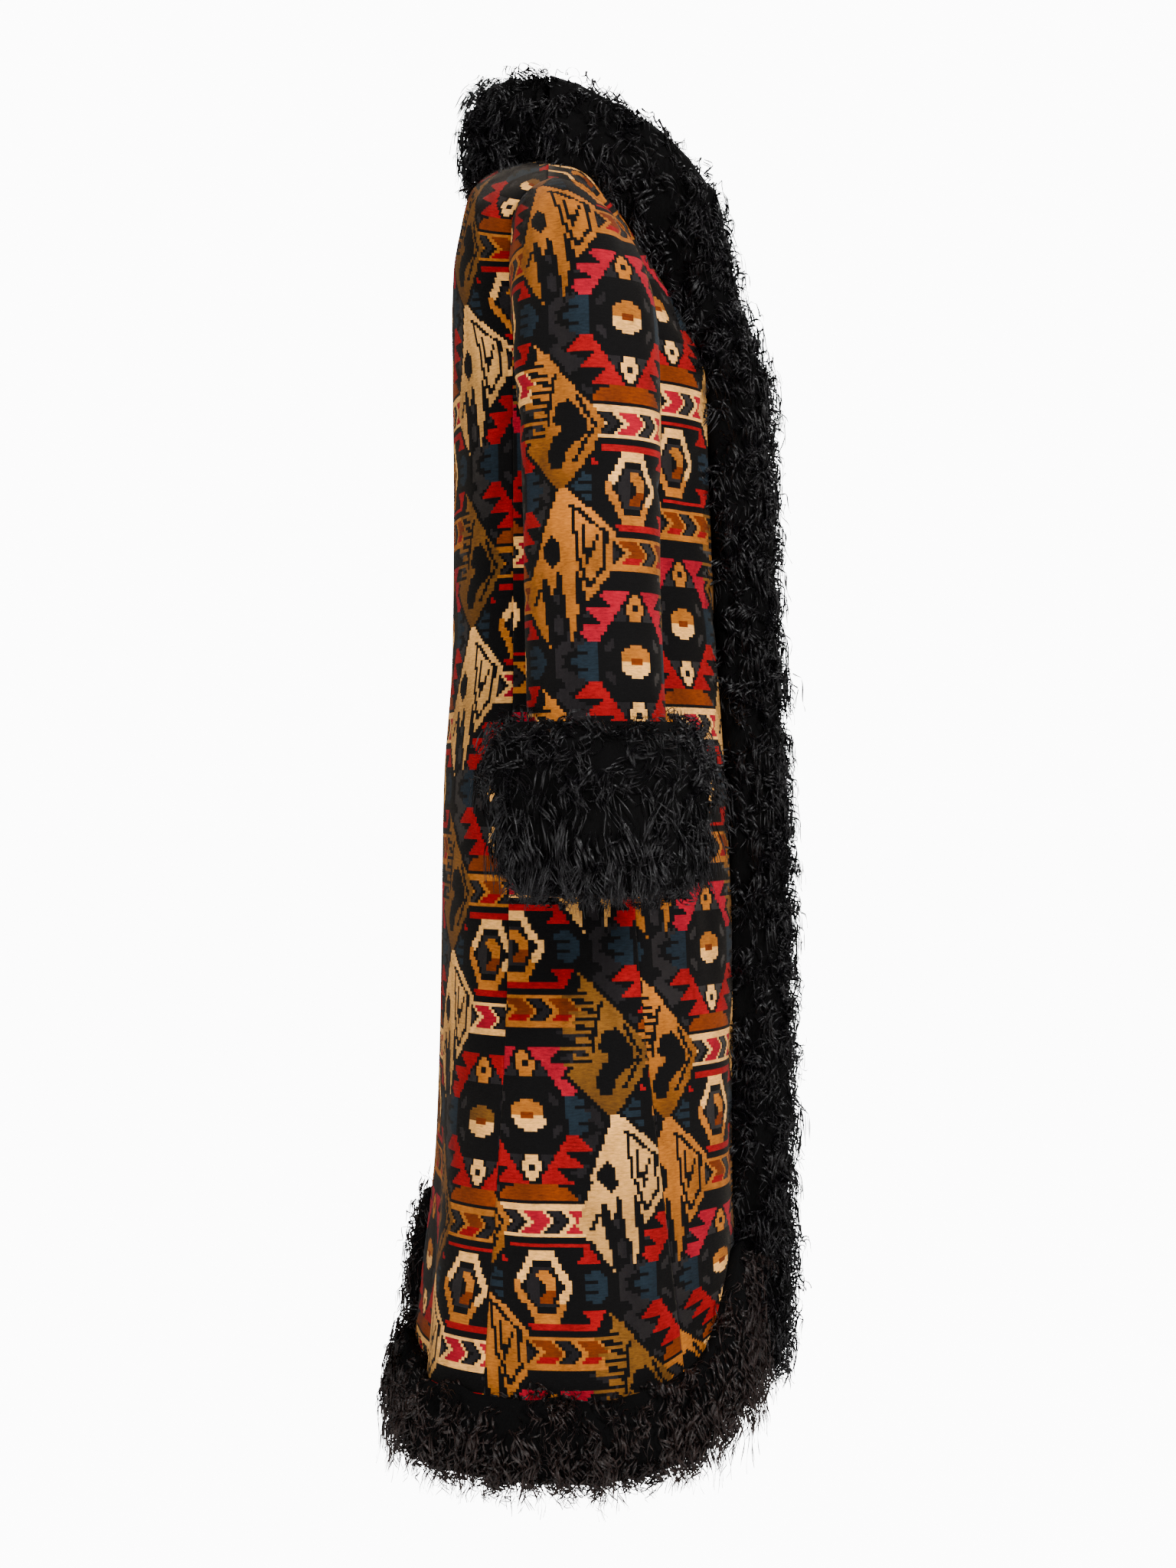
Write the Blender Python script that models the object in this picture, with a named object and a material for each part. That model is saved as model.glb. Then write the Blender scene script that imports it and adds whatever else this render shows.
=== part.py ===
"""Full-length velvet coat with a curly fur collar, front bands, cuffs and hem, in its worn shape.

Metres, +Z up. The coat faces -Y and its right side is at -X. The origin is the middle of the
neck, level with the top of the shoulders, where the wearer holds the coat up. Each cut piece is
one closed solid: the cloth is a thin wall, and the fur is as thick as its pile stands.
"""

import math
from typing import NamedTuple

import bpy
import numpy as np

# Cloth and seams
WALL = 0.0024
SEAM_GAP = 0.0005
LAY_GAP = 0.0006

# Heights of the cut, below the top of the shoulders
ARMPIT_Z = -0.235
HEM_SIDE_Z = -1.235
HEM_FRONT_RISE = 0.047
HEM_RISE_FLAT = 0.085
HEM_RISE_RUN = 0.110

# Neck and shoulder
NECK_HALF = 0.085
NECK_Z = -0.018
NECK_BACK_DIP = 0.012
SHOULDER_HALF = 0.186
SHOULDER_Z = -0.074
V_START_Z = -0.205
FRONT_EDGE_X = 0.0022

# Grid counts
LOWER_ROWS = 16
YOKE_ROWS = 7
YOKE_SPACING = 1.30
FRONT_REST_COLUMNS = 4
SIDE_COLUMNS = 4
BACK_COLUMNS = 7
SLEEVE_COLUMNS = 18
CAP_ROWS = 6
ARM_ROWS = 9

# Fur
BAND_WIDTH = 0.090
BAND_TOP_WIDTH = 0.048
BAND_STATIONS = 3
VENT_COLUMNS = 2
VENT_CLEAR = 0.002
BAND_BOTTOM_BELOW_HEM = 0.044
BAND_FOOT_ROWS = 3
CORNER_CLEAR = 0.006
LUMP_DEPTH = 0.0055
TUFT_RUNS = (0.0145, 0.0091, 0.0230)
CUFF_TUFTS = (3, 7, 5)
NECK_EDGE_BEND = 1.15
BAND_FOOT_INSET = 0.12
BAND_FOOT_DEPTH = 0.8
VENT_END_DEPTH = 0.35
HEM_GRID_ROWS = 5
COLLAR_REACH = math.radians(84)


class Section(NamedTuple):
    """One level of the body: half width, depth ahead of and behind Y = 0, and how square it is."""

    z: float
    half_width: float
    front: float
    back: float
    corner: float


BODY = (
    Section(z=0.012, half_width=0.189, front=0.000, back=0.000, corner=3.20),
    Section(z=0.006, half_width=0.189, front=0.025, back=0.028, corner=3.20),
    Section(z=-0.004, half_width=0.189, front=0.040, back=0.052, corner=3.20),
    Section(z=-0.015, half_width=0.189, front=0.050, back=0.068, corner=3.20),
    Section(z=-0.035, half_width=0.189, front=0.064, back=0.082, corner=3.20),
    Section(z=-0.070, half_width=0.188, front=0.084, back=0.090, corner=3.15),
    Section(z=-0.120, half_width=0.185, front=0.112, back=0.098, corner=2.95),
    Section(z=-0.180, half_width=0.179, front=0.145, back=0.100, corner=2.70),
    Section(z=-0.235, half_width=0.172, front=0.168, back=0.100, corner=2.50),
    Section(z=-0.350, half_width=0.168, front=0.174, back=0.099, corner=2.45),
    Section(z=-0.500, half_width=0.177, front=0.179, back=0.100, corner=2.45),
    Section(z=-0.650, half_width=0.196, front=0.186, back=0.109, corner=2.45),
    Section(z=-0.800, half_width=0.208, front=0.191, back=0.111, corner=2.45),
    Section(z=-1.000, half_width=0.220, front=0.191, back=0.114, corner=2.45),
    Section(z=-1.150, half_width=0.231, front=0.191, back=0.127, corner=2.45),
    Section(z=-1.320, half_width=0.244, front=0.192, back=0.143, corner=2.45),
)


class SideSeams(NamedTuple):
    """Where the side panel's two seams stand, as Y, at one level."""

    z: float
    to_front: float
    to_back: float


SEAMS = (
    SideSeams(z=-0.235, to_front=-0.062, to_back=0.034),
    SideSeams(z=-0.500, to_front=-0.070, to_back=0.033),
    SideSeams(z=-0.800, to_front=-0.085, to_back=0.037),
    SideSeams(z=-1.200, to_front=-0.131, to_back=0.0615),
    SideSeams(z=-1.320, to_front=-0.142, to_back=0.067),
)


class Fold(NamedTuple):
    """One soft flute of the skirt. around runs 0 to 1 from the right front edge over the back."""

    around: float
    top_z: float
    depth: float
    width: float


FOLDS = (
    Fold(around=0.115, top_z=-0.62, depth=0.0060, width=0.022),
    Fold(around=0.170, top_z=-0.80, depth=-0.0045, width=0.024),
    Fold(around=0.240, top_z=-0.85, depth=0.0040, width=0.030),
    Fold(around=0.310, top_z=-0.70, depth=-0.0060, width=0.022),
    Fold(around=0.365, top_z=-0.78, depth=0.0070, width=0.022),
    Fold(around=0.425, top_z=-0.88, depth=-0.0080, width=0.022),
    Fold(around=0.495, top_z=-0.74, depth=0.0070, width=0.026),
    Fold(around=0.570, top_z=-0.84, depth=-0.0070, width=0.022),
    Fold(around=0.630, top_z=-0.72, depth=0.0060, width=0.024),
    Fold(around=0.692, top_z=-0.82, depth=-0.0055, width=0.022),
    Fold(around=0.765, top_z=-0.90, depth=0.0045, width=0.028),
    Fold(around=0.833, top_z=-0.76, depth=-0.0050, width=0.022),
    Fold(around=0.888, top_z=-0.66, depth=0.0055, width=0.022),
)


class Armhole(NamedTuple):
    """The armhole's edge, up from the armpit (0) to the shoulder (1), as half widths."""

    up: float
    front_x: float
    back_x: float


ARMHOLE = (
    Armhole(up=0.35, front_x=0.1680, back_x=0.1790),
    Armhole(up=0.70, front_x=0.1650, back_x=0.1855),
    Armhole(up=0.90, front_x=0.1755, back_x=0.1865),
    Armhole(up=1.00, front_x=0.1860, back_x=0.1860),
)


class Arm(NamedTuple):
    """One level of the right sleeve: its middle and its half widths across and fore and aft."""

    z: float
    x: float
    y: float
    half_x: float
    half_y: float


ARM = (
    Arm(z=-0.235, x=-0.2400, y=-0.036, half_x=0.0570, half_y=0.0670),
    Arm(z=-0.350, x=-0.2500, y=-0.041, half_x=0.0560, half_y=0.0630),
    Arm(z=-0.460, x=-0.2640, y=-0.042, half_x=0.0540, half_y=0.0610),
    Arm(z=-0.590, x=-0.2870, y=-0.046, half_x=0.0540, half_y=0.0615),
    Arm(z=-0.690, x=-0.3060, y=-0.050, half_x=0.0560, half_y=0.0635),
)
UNDERARM_DROP = 0.042
SLEEVE_START = 0.0016


class Pelt(NamedTuple):
    """A corner of a fur strip's section: out from the cloth, and along it."""

    out: float
    along: float


# Front band: along is a share of the band's width, from the coat's edge outward.
BAND_SECTION = (
    Pelt(out=0.022, along=-0.004),
    Pelt(out=0.042, along=0.010),
    Pelt(out=0.055, along=0.150),
    Pelt(out=0.060, along=0.400),
    Pelt(out=0.057, along=0.640),
    Pelt(out=0.046, along=0.860),
    Pelt(out=0.028, along=1.000),
    Pelt(out=0.010, along=1.030),
)
BAND_TOP_SHARE = 1.55
BAND_BLEND_ROWS = 4

# Hem: along is the height above the cloth's edge.
HEM_SECTION = (
    Pelt(out=0.014, along=0.035),
    Pelt(out=0.024, along=0.020),
    Pelt(out=0.030, along=0.000),
    Pelt(out=0.028, along=-0.022),
    Pelt(out=0.021, along=-0.040),
    Pelt(out=0.009, along=-0.052),
    Pelt(out=-0.003, along=-0.054),
    Pelt(out=-0.012, along=-0.044),
    Pelt(out=-0.015, along=-0.026),
    Pelt(out=-0.011, along=-0.007),
)
HEM_TOP = 0.026
HEM_CORNER_RISE = 0.065
HEM_CORNER_FLAT = 0.020
HEM_CORNER_RUN = 0.075

# Cuff: along is the height above the sleeve's end.
CUFF_SECTION = (
    Pelt(out=0.022, along=0.102),
    Pelt(out=0.041, along=0.088),
    Pelt(out=0.050, along=0.064),
    Pelt(out=0.043, along=0.036),
    Pelt(out=0.041, along=0.010),
    Pelt(out=0.037, along=-0.020),
    Pelt(out=0.026, along=-0.042),
    Pelt(out=0.010, along=-0.052),
    Pelt(out=-0.006, along=-0.049),
    Pelt(out=-0.013, along=-0.032),
    Pelt(out=-0.011, along=-0.008),
)
CUFF_TOP = 0.088
CUFF_INNER_SHARE = 0.62

# Collar: along is the height above the neck seam behind the neck.
COLLAR_SECTION = (
    Pelt(out=0.044, along=0.005),
    Pelt(out=0.047, along=0.034),
    Pelt(out=0.038, along=0.062),
    Pelt(out=0.022, along=0.084),
    Pelt(out=0.001, along=0.091),
    Pelt(out=-0.012, along=0.078),
    Pelt(out=-0.012, along=0.046),
    Pelt(out=-0.006, along=0.014),
)
COLLAR_SEATS = (0.0, 0.011, 0.021, 0.029, 0.036)
COLLAR_GAP = 0.0012
COLLAR_STATIONS = 26
COLLAR_SIDE_SHARE = 0.86

# Vent strip: along is a share of its width, from the vent's edge outward.
VENT_SECTION = (
    Pelt(out=0.012, along=0.000),
    Pelt(out=0.022, along=0.160),
    Pelt(out=0.025, along=0.500),
    Pelt(out=0.021, along=0.840),
    Pelt(out=0.010, along=1.000),
)
VENT_TOP_Z = -1.064
VENT_ROWS = 9


class Curve:
    """A smooth line through a table's rows that never swings past them (a monotone cubic)."""

    def __init__(self, stations, values):
        order = np.argsort(stations)
        self.x = np.array(stations, float)[order]
        self.y = np.array(values, float)[order]
        run = np.diff(self.x)
        rise = np.diff(self.y) / run
        self.slope = np.zeros(len(self.x))
        self.slope[0], self.slope[-1] = rise[0], rise[-1]
        for k in range(1, len(self.x) - 1):
            before, after = rise[k - 1], rise[k]
            if before * after > 0:
                self.slope[k] = 2 * before * after / (before + after)

    def __call__(self, at):
        at = np.clip(at, self.x[0], self.x[-1])
        k = np.clip(np.searchsorted(self.x, at) - 1, 0, len(self.x) - 2)
        run = self.x[k + 1] - self.x[k]
        t = (at - self.x[k]) / run
        return (
            self.y[k] * (1 + 2 * t) * (1 - t) ** 2
            + self.y[k + 1] * t * t * (3 - 2 * t)
            + run * (self.slope[k] * t * (1 - t) ** 2 + self.slope[k + 1] * t * t * (t - 1))
        )


def column(table, key, value):
    """The Curve of one named column of a table against another."""
    return Curve([getattr(row, key) for row in table], [getattr(row, value) for row in table])


half_width = column(BODY, "z", "half_width")
front_depth = column(BODY, "z", "front")
back_depth = column(BODY, "z", "back")
squareness = column(BODY, "z", "corner")
seam_to_front = column(SEAMS, "z", "to_front")
seam_to_back = column(SEAMS, "z", "to_back")
arm_x = column(ARM, "z", "x")
arm_y = column(ARM, "z", "y")
arm_half_x = column(ARM, "z", "half_x")
arm_half_y = column(ARM, "z", "half_y")
ridge = Curve(
    [0.0, NECK_HALF, SHOULDER_HALF, 0.230],
    [BODY[0].z, NECK_Z, SHOULDER_Z, -0.108],
)


def smooth(t):
    """0 to 1 with flat ends."""
    t = min(max(t, 0.0), 1.0)
    return t * t * (3 - 2 * t)


def unit(v):
    return v / np.linalg.norm(v)


def half_outline(z, count=240):
    """The right half of the body's outline at one level, from centre front to centre back."""
    angle = np.linspace(0, math.pi, count + 1)
    power = 2 / squareness(z)
    x = -half_width(z) * np.abs(np.sin(angle)) ** power
    depth = np.where(angle < math.pi / 2, -front_depth(z), back_depth(z))
    y = depth * np.abs(np.cos(angle)) ** power
    run = np.concatenate([[0], np.cumsum(np.hypot(np.diff(x), np.diff(y)))])
    return x, y, run


def fold_depth(around, z):
    """How far the flutes push the skirt out (or, below 0, in) at one place."""
    total = 0.0
    for fold in FOLDS:
        down = smooth((fold.top_z - z) / (fold.top_z - HEM_SIDE_Z))
        total += fold.depth * down * math.exp(-(((around - fold.around) / fold.width) ** 2))
    return total


def body_point(around, z):
    """The cloth's outer face below the armpit. around is 0 and 1 at the front edges."""
    x, y, run = half_outline(z)
    at = 2 * run[-1] * min(around, 1 - around)
    side = 1 if around <= 0.5 else -1
    place = np.array([side * np.interp(at, run, x), np.interp(at, run, y), z])
    ahead = np.array([side * np.interp(at + 1e-3, run, x), np.interp(at + 1e-3, run, y), z])
    behind = np.array([side * np.interp(at - 1e-3, run, x), np.interp(at - 1e-3, run, y), z])
    along = unit(ahead - behind) * side
    out = np.array([-along[1], along[0], 0.0])
    return place + out * fold_depth(around, z)


def body_normal(around, z):
    step = 2e-3
    across = body_point(min(around + step, 1), z) - body_point(max(around - step, 0), z)
    up = body_point(around, z + step) - body_point(around, z - step)
    return unit(np.cross(up, across))


def yoke_depth(x, z, table):
    """How far the yoke stands from Y = 0 above the armpit: full below, nothing on the shoulder."""
    x = abs(x)
    lift = (z - ARMPIT_Z) / (ridge(x) - ARMPIT_Z)
    level = z + (BODY[0].z - ridge(x)) * min(max(lift, 0.0), 1.0)
    corner = squareness(level)
    share = max(1 - (x / half_width(z)) ** corner, 1e-6)
    return float(table(level)) * share ** (1 / corner)


def yoke_point(x, z, table, facing):
    return np.array([x, facing * yoke_depth(x, z, table), z])


def yoke_normal(x, z, table, facing):
    step = 1e-3
    high = min(z + step, float(ridge(abs(x))) - 1e-5)
    by_x = (yoke_depth(x + step, z, table) - yoke_depth(x - step, z, table)) / (2 * step)
    by_z = (yoke_depth(x, high, table) - yoke_depth(x, high - 2 * step, table)) / (2 * step)
    return unit(np.array([-by_x, facing, -by_z]))


def ridge_normal(x):
    step = 1e-3
    fall = (ridge(abs(x) + step) - ridge(abs(x) - step)) / (2 * step)
    return unit(np.array([-fall * math.copysign(1, x), 0.0, 1.0]))


def hem_z(around):
    """The cloth's lower edge: level round the sides and back, and higher across the front."""
    from_front = min(around, 1 - around)
    return HEM_SIDE_Z + HEM_FRONT_RISE * (1 - smooth((from_front - HEM_RISE_FLAT) / HEM_RISE_RUN))


def seam_around(z, seam_y):
    """Where a side seam stands, as a share of the way around."""
    _, y, run = half_outline(z)
    inside = slice(60, 181)
    return np.interp(seam_y, y[inside], run[inside]) / (2 * run[-1])


def level_of(row, around):
    """Height of one of the skirt's rows, spread evenly from the hem up to the armpit."""
    share = row / LOWER_ROWS
    return hem_z(around) + (ARMPIT_Z - hem_z(around)) * share


def seam_place(row, seam_table):
    """A side seam on one of the skirt's rows: its share of the way around, and its height."""
    around = 0.2
    for _ in range(4):
        level = level_of(row, around)
        around = seam_around(level, seam_table(level))
    return around, level


def around_of(distance, z):
    """The share of the way around that lies this far from centre front."""
    run = half_outline(z)[2]
    return distance / (2 * run[-1])


def band_width(up):
    """Width of the front band's seat: full on the skirt, narrower on the way to the shoulder."""
    return BAND_WIDTH - (BAND_WIDTH - BAND_TOP_WIDTH) * smooth((up - 0.15) / 0.85)


def yoke_share(row):
    """How far up the yoke one of its rows stands; the rows close up toward the shoulder."""
    return 1 - (1 - row / YOKE_ROWS) ** YOKE_SPACING


def v_edge_x(z):
    """The front edge: straight up to the V, then out to the neck."""
    up = max(z - V_START_Z, 0.0) / (NECK_Z - V_START_Z)
    return FRONT_EDGE_X + (NECK_HALF - FRONT_EDGE_X) * up**NECK_EDGE_BEND


def front_grid():
    """Outer points and normals of the right front, rows from the hem up, columns from the edge."""
    shares = [k / BAND_STATIONS for k in range(BAND_STATIONS + 1)]
    rest = [(k + 1) / FRONT_REST_COLUMNS for k in range(FRONT_REST_COLUMNS)]
    points, normals = [], []
    for row in range(LOWER_ROWS + 1):
        mid_z = level_of(row, 0.05)
        edge = around_of(FRONT_EDGE_X, mid_z)
        band = around_of(FRONT_EDGE_X + BAND_WIDTH, mid_z)
        seam, seam_level = seam_place(row, seam_to_front)
        seam -= around_of(SEAM_GAP / 2, seam_level)
        arounds = [edge + (band - edge) * s for s in shares]
        arounds += [band + (seam - band) * s for s in rest]
        levels = [level_of(row, a) for a in arounds]
        points.append([body_point(a, z) for a, z in zip(arounds, levels)])
        normals.append([body_normal(a, z) for a, z in zip(arounds, levels)])
    armhole = Curve(
        [0.0] + [r.up for r in ARMHOLE],
        [-points[-1][-1][0]] + [r.front_x for r in ARMHOLE],
    )
    base_x = np.array([-p[0] for p in points[-1]])
    spread = (base_x[BAND_STATIONS:] - base_x[BAND_STATIONS]) / (base_x[-1] - base_x[BAND_STATIONS])
    for row in range(1, YOKE_ROWS + 1):
        up = yoke_share(row)
        inner_z = ARMPIT_Z + (NECK_Z - ARMPIT_Z) * up
        outer_z = ARMPIT_Z + (SHOULDER_Z - ARMPIT_Z) * up
        inner_x, outer_x = v_edge_x(inner_z), float(armhole(up))
        band_x = inner_x + band_width(up) * (1 - 0.1 * up)
        xs = [inner_x + (band_x - inner_x) * s for s in shares]
        xs += [band_x + (outer_x - band_x) * s for s in spread[1:]]
        row_points, row_normals = [], []
        for x in xs:
            z = inner_z + (outer_z - inner_z) * (x - inner_x) / (outer_x - inner_x)
            if row == YOKE_ROWS:
                row_points.append(np.array([-x, -SEAM_GAP / 2, float(ridge(x))]))
                row_normals.append(ridge_normal(-x))
            else:
                row_points.append(yoke_point(-x, z, front_depth, -1))
                row_normals.append(yoke_normal(-x, z, front_depth, -1))
        points.append(row_points)
        normals.append(row_normals)
    return np.array(points), np.array(normals)


def side_grid():
    """The right side panel, from its front seam to its back seam."""
    points, normals = [], []
    for row in range(LOWER_ROWS + 1):
        first, level = seam_place(row, seam_to_front)
        last, _ = seam_place(row, seam_to_back)
        gap = around_of(SEAM_GAP / 2, level)
        first, last = first + gap, last - gap
        arounds = [first + (last - first) * k / SIDE_COLUMNS for k in range(SIDE_COLUMNS + 1)]
        levels = [level_of(row, a) for a in arounds]
        points.append([body_point(a, z) for a, z in zip(arounds, levels)])
        normals.append([body_normal(a, z) for a, z in zip(arounds, levels)])
    return np.array(points), np.array(normals)


def back_grid():
    """The right half of the back, from the side seam to the back seam."""
    points, normals = [], []
    for row in range(LOWER_ROWS + 1):
        seam, level = seam_place(row, seam_to_back)
        gap = around_of(SEAM_GAP / 2, level)
        seam += gap
        arounds = [seam + (0.5 - gap - seam) * k / BACK_COLUMNS for k in range(BACK_COLUMNS + 1)]
        levels = [level_of(row, a) for a in arounds]
        points.append([body_point(a, z) for a, z in zip(arounds, levels)])
        normals.append([body_normal(a, z) for a, z in zip(arounds, levels)])
    base_x = np.array([p[0] for p in points[-1]])
    armhole = Curve(
        [0.0] + [r.up for r in ARMHOLE],
        [abs(base_x[0])] + [r.back_x for r in ARMHOLE],
    )
    spread = base_x / base_x[0]
    for row in range(1, YOKE_ROWS + 1):
        up = yoke_share(row)
        outer_x = float(armhole(up))
        row_points, row_normals = [], []
        for share in spread:
            x = -share * outer_x
            dip = NECK_BACK_DIP * max(1 - (x / NECK_HALF) ** 2, 0.0)
            z = ARMPIT_Z + (float(ridge(abs(x))) - dip - ARMPIT_Z) * up
            if row == YOKE_ROWS and dip == 0:
                row_points.append(np.array([x, SEAM_GAP / 2, z]))
                row_normals.append(ridge_normal(x))
            else:
                row_points.append(yoke_point(x, z, back_depth, 1))
                row_normals.append(yoke_normal(x, z, back_depth, 1))
        points.append(row_points)
        normals.append(row_normals)
    return np.array(points), np.array(normals)


def armhole_ring(front, side, back):
    """The right armhole's edge as a closed line: up the front, down the back, under the arm."""
    up_front = front[LOWER_ROWS:, -1]
    down_back = back[LOWER_ROWS:, 0][::-1]
    under = side[LOWER_ROWS][::-1][1:-1]
    return np.concatenate([up_front, down_back, under])


def resample(loop, count, start):
    """A closed line cut into equal steps, beginning at the point nearest to start."""
    first = int(np.argmin(np.linalg.norm(loop - start, axis=1)))
    loop = np.roll(loop, -first, axis=0)
    closed = np.concatenate([loop, loop[:1]])
    run = np.concatenate([[0], np.cumsum(np.linalg.norm(np.diff(closed, axis=0), axis=1))])
    at = np.linspace(0, run[-1], count + 1)[:-1]
    return np.stack([np.interp(at, run, closed[:, k]) for k in range(3)], axis=1)


def sleeve_grid(ring):
    """The right sleeve, rows from the armhole to the wrist, columns round from the shoulder."""
    shoulder = np.array([-SHOULDER_HALF, 0.0, SHOULDER_Z])
    start = resample(ring, SLEEVE_COLUMNS, shoulder)
    start[:, 0] -= SLEEVE_START
    angles = -2 * math.pi * np.arange(SLEEVE_COLUMNS) / SLEEVE_COLUMNS
    rows = []

    def arm_ring(z, tilt):
        ring_points = []
        for a in angles:
            level = z - tilt * (1 - math.cos(a)) / 2
            x = arm_x(level) - arm_half_x(level) * math.cos(a)
            y = arm_y(level) - arm_half_y(level) * math.sin(a)
            ring_points.append(np.array([x, y, level]))
        return np.array(ring_points)

    first_full = arm_ring(ARMPIT_Z, UNDERARM_DROP)
    for row in range(CAP_ROWS + 1):
        turn = math.pi / 2 * row / CAP_ROWS
        out, down = math.sin(turn), 1 - math.cos(turn)
        mixed = start.copy()
        mixed[:, 0] += (first_full[:, 0] - start[:, 0]) * out
        mixed[:, 1] += (first_full[:, 1] - start[:, 1]) * out
        mixed[:, 2] += (first_full[:, 2] - start[:, 2]) * down
        rows.append(mixed)
    wrist_z = ARM[-1].z
    for row in range(1, ARM_ROWS + 1):
        share = row / ARM_ROWS
        tilt = UNDERARM_DROP * (1 - share)
        rows.append(arm_ring(ARMPIT_Z + (wrist_z - ARMPIT_Z) * share, tilt))
    return np.array(rows)


def grid_normals(points):
    """Normals of a grid that closes on itself across its columns."""
    across = np.roll(points, -1, axis=1) - np.roll(points, 1, axis=1)
    along = np.gradient(points, axis=0)
    n = np.cross(across, along)
    return n / np.linalg.norm(n, axis=2, keepdims=True)


def mirrored(points):
    """The same points on the other side of the coat."""
    flipped = points.copy()
    flipped[..., 0] *= -1
    return flipped


def volume(verts, faces):
    total = 0.0
    for face in faces:
        a = verts[face[0]]
        for k in range(1, len(face) - 1):
            total += float(np.dot(a, np.cross(verts[face[k]], verts[face[k + 1]])))
    return total


def add_node(name, verts, faces, material):
    """One named object with its faces turned outward and shaded smooth."""
    if volume(verts, faces) < 0:
        faces = [face[::-1] for face in faces]
    mesh = bpy.data.meshes.new(name)
    mesh.from_pydata([tuple(v) for v in verts], [], faces)
    mesh.materials.append(material)
    mesh.shade_smooth()
    mesh.set_sharp_from_angle(angle=math.radians(50))
    obj = bpy.data.objects.new(name, mesh)
    bpy.context.scene.collection.objects.link(obj)
    return obj


def wall_faces(rows, columns, closed):
    """Faces of a wall whose outer grid comes first and inner grid second."""
    faces, inner = [], rows * columns
    spans = columns if closed else columns - 1
    for r in range(rows - 1):
        for c in range(spans):
            d = (c + 1) % columns
            a, b = r * columns + c, r * columns + d
            e, f = a + columns, b + columns
            faces.append((a, b, f, e))
            faces.append((inner + a, inner + e, inner + f, inner + b))
    for c in range(spans):
        d = (c + 1) % columns
        top = (rows - 1) * columns
        faces.append((c, inner + c, inner + d, d))
        faces.append((top + c, top + d, inner + top + d, inner + top + c))
    if not closed:
        for r in range(rows - 1):
            a, b = r * columns, (r + 1) * columns
            faces.append((a, b, inner + b, inner + a))
            a, b = a + columns - 1, b + columns - 1
            faces.append((a, inner + a, inner + b, b))
    return faces


def add_wall(name, points, normals, material, closed=False):
    """A cloth piece: the outer grid, the same grid moved in by the cloth's thickness, and rims."""
    rows, columns = points.shape[:2]
    verts = np.concatenate([points.reshape(-1, 3), (points - normals * WALL).reshape(-1, 3)])
    add_node(name, verts, wall_faces(rows, columns, closed), material)


def add_pelt(name, sections, material, ring=False):
    """A fur strip: closed sections joined in a row, with ends, or joined into a ring."""
    count, corners = sections.shape[:2]
    faces = []
    for k in range(count if ring else count - 1):
        a, b = k * corners, (k + 1) % count * corners
        for c in range(corners):
            d = (c + 1) % corners
            faces.append((a + c, a + d, b + d, b + c))
    if not ring:
        faces.append(tuple(range(corners))[::-1])
        faces.append(tuple((count - 1) * corners + c for c in range(corners)))
    add_node(name, sections.reshape(-1, 3), faces, material)


def lump(along, across, seed):
    """Uneven tufts of the pile: about 1 where a lock stands out, down to -1 between locks."""
    middle, short, long = TUFT_RUNS
    wave = math.sin(along / middle + seed) * math.cos(across * 4.1 + 1.3 * seed)
    wave += math.sin(along / short - 2.0 * across + 2.1 * seed)
    wave += 0.8 * math.sin(along / long + 5.3 * across + 0.7 * seed)
    return wave / 2.8


def lengthened(rows, parts):
    """Rows of points with more rows put in between, on the straight lines from row to row."""
    made = []
    for a, b in zip(rows[:-1], rows[1:]):
        made += [a + (b - a) * k / parts for k in range(parts)]
    return np.array(made + [rows[-1]])


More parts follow.
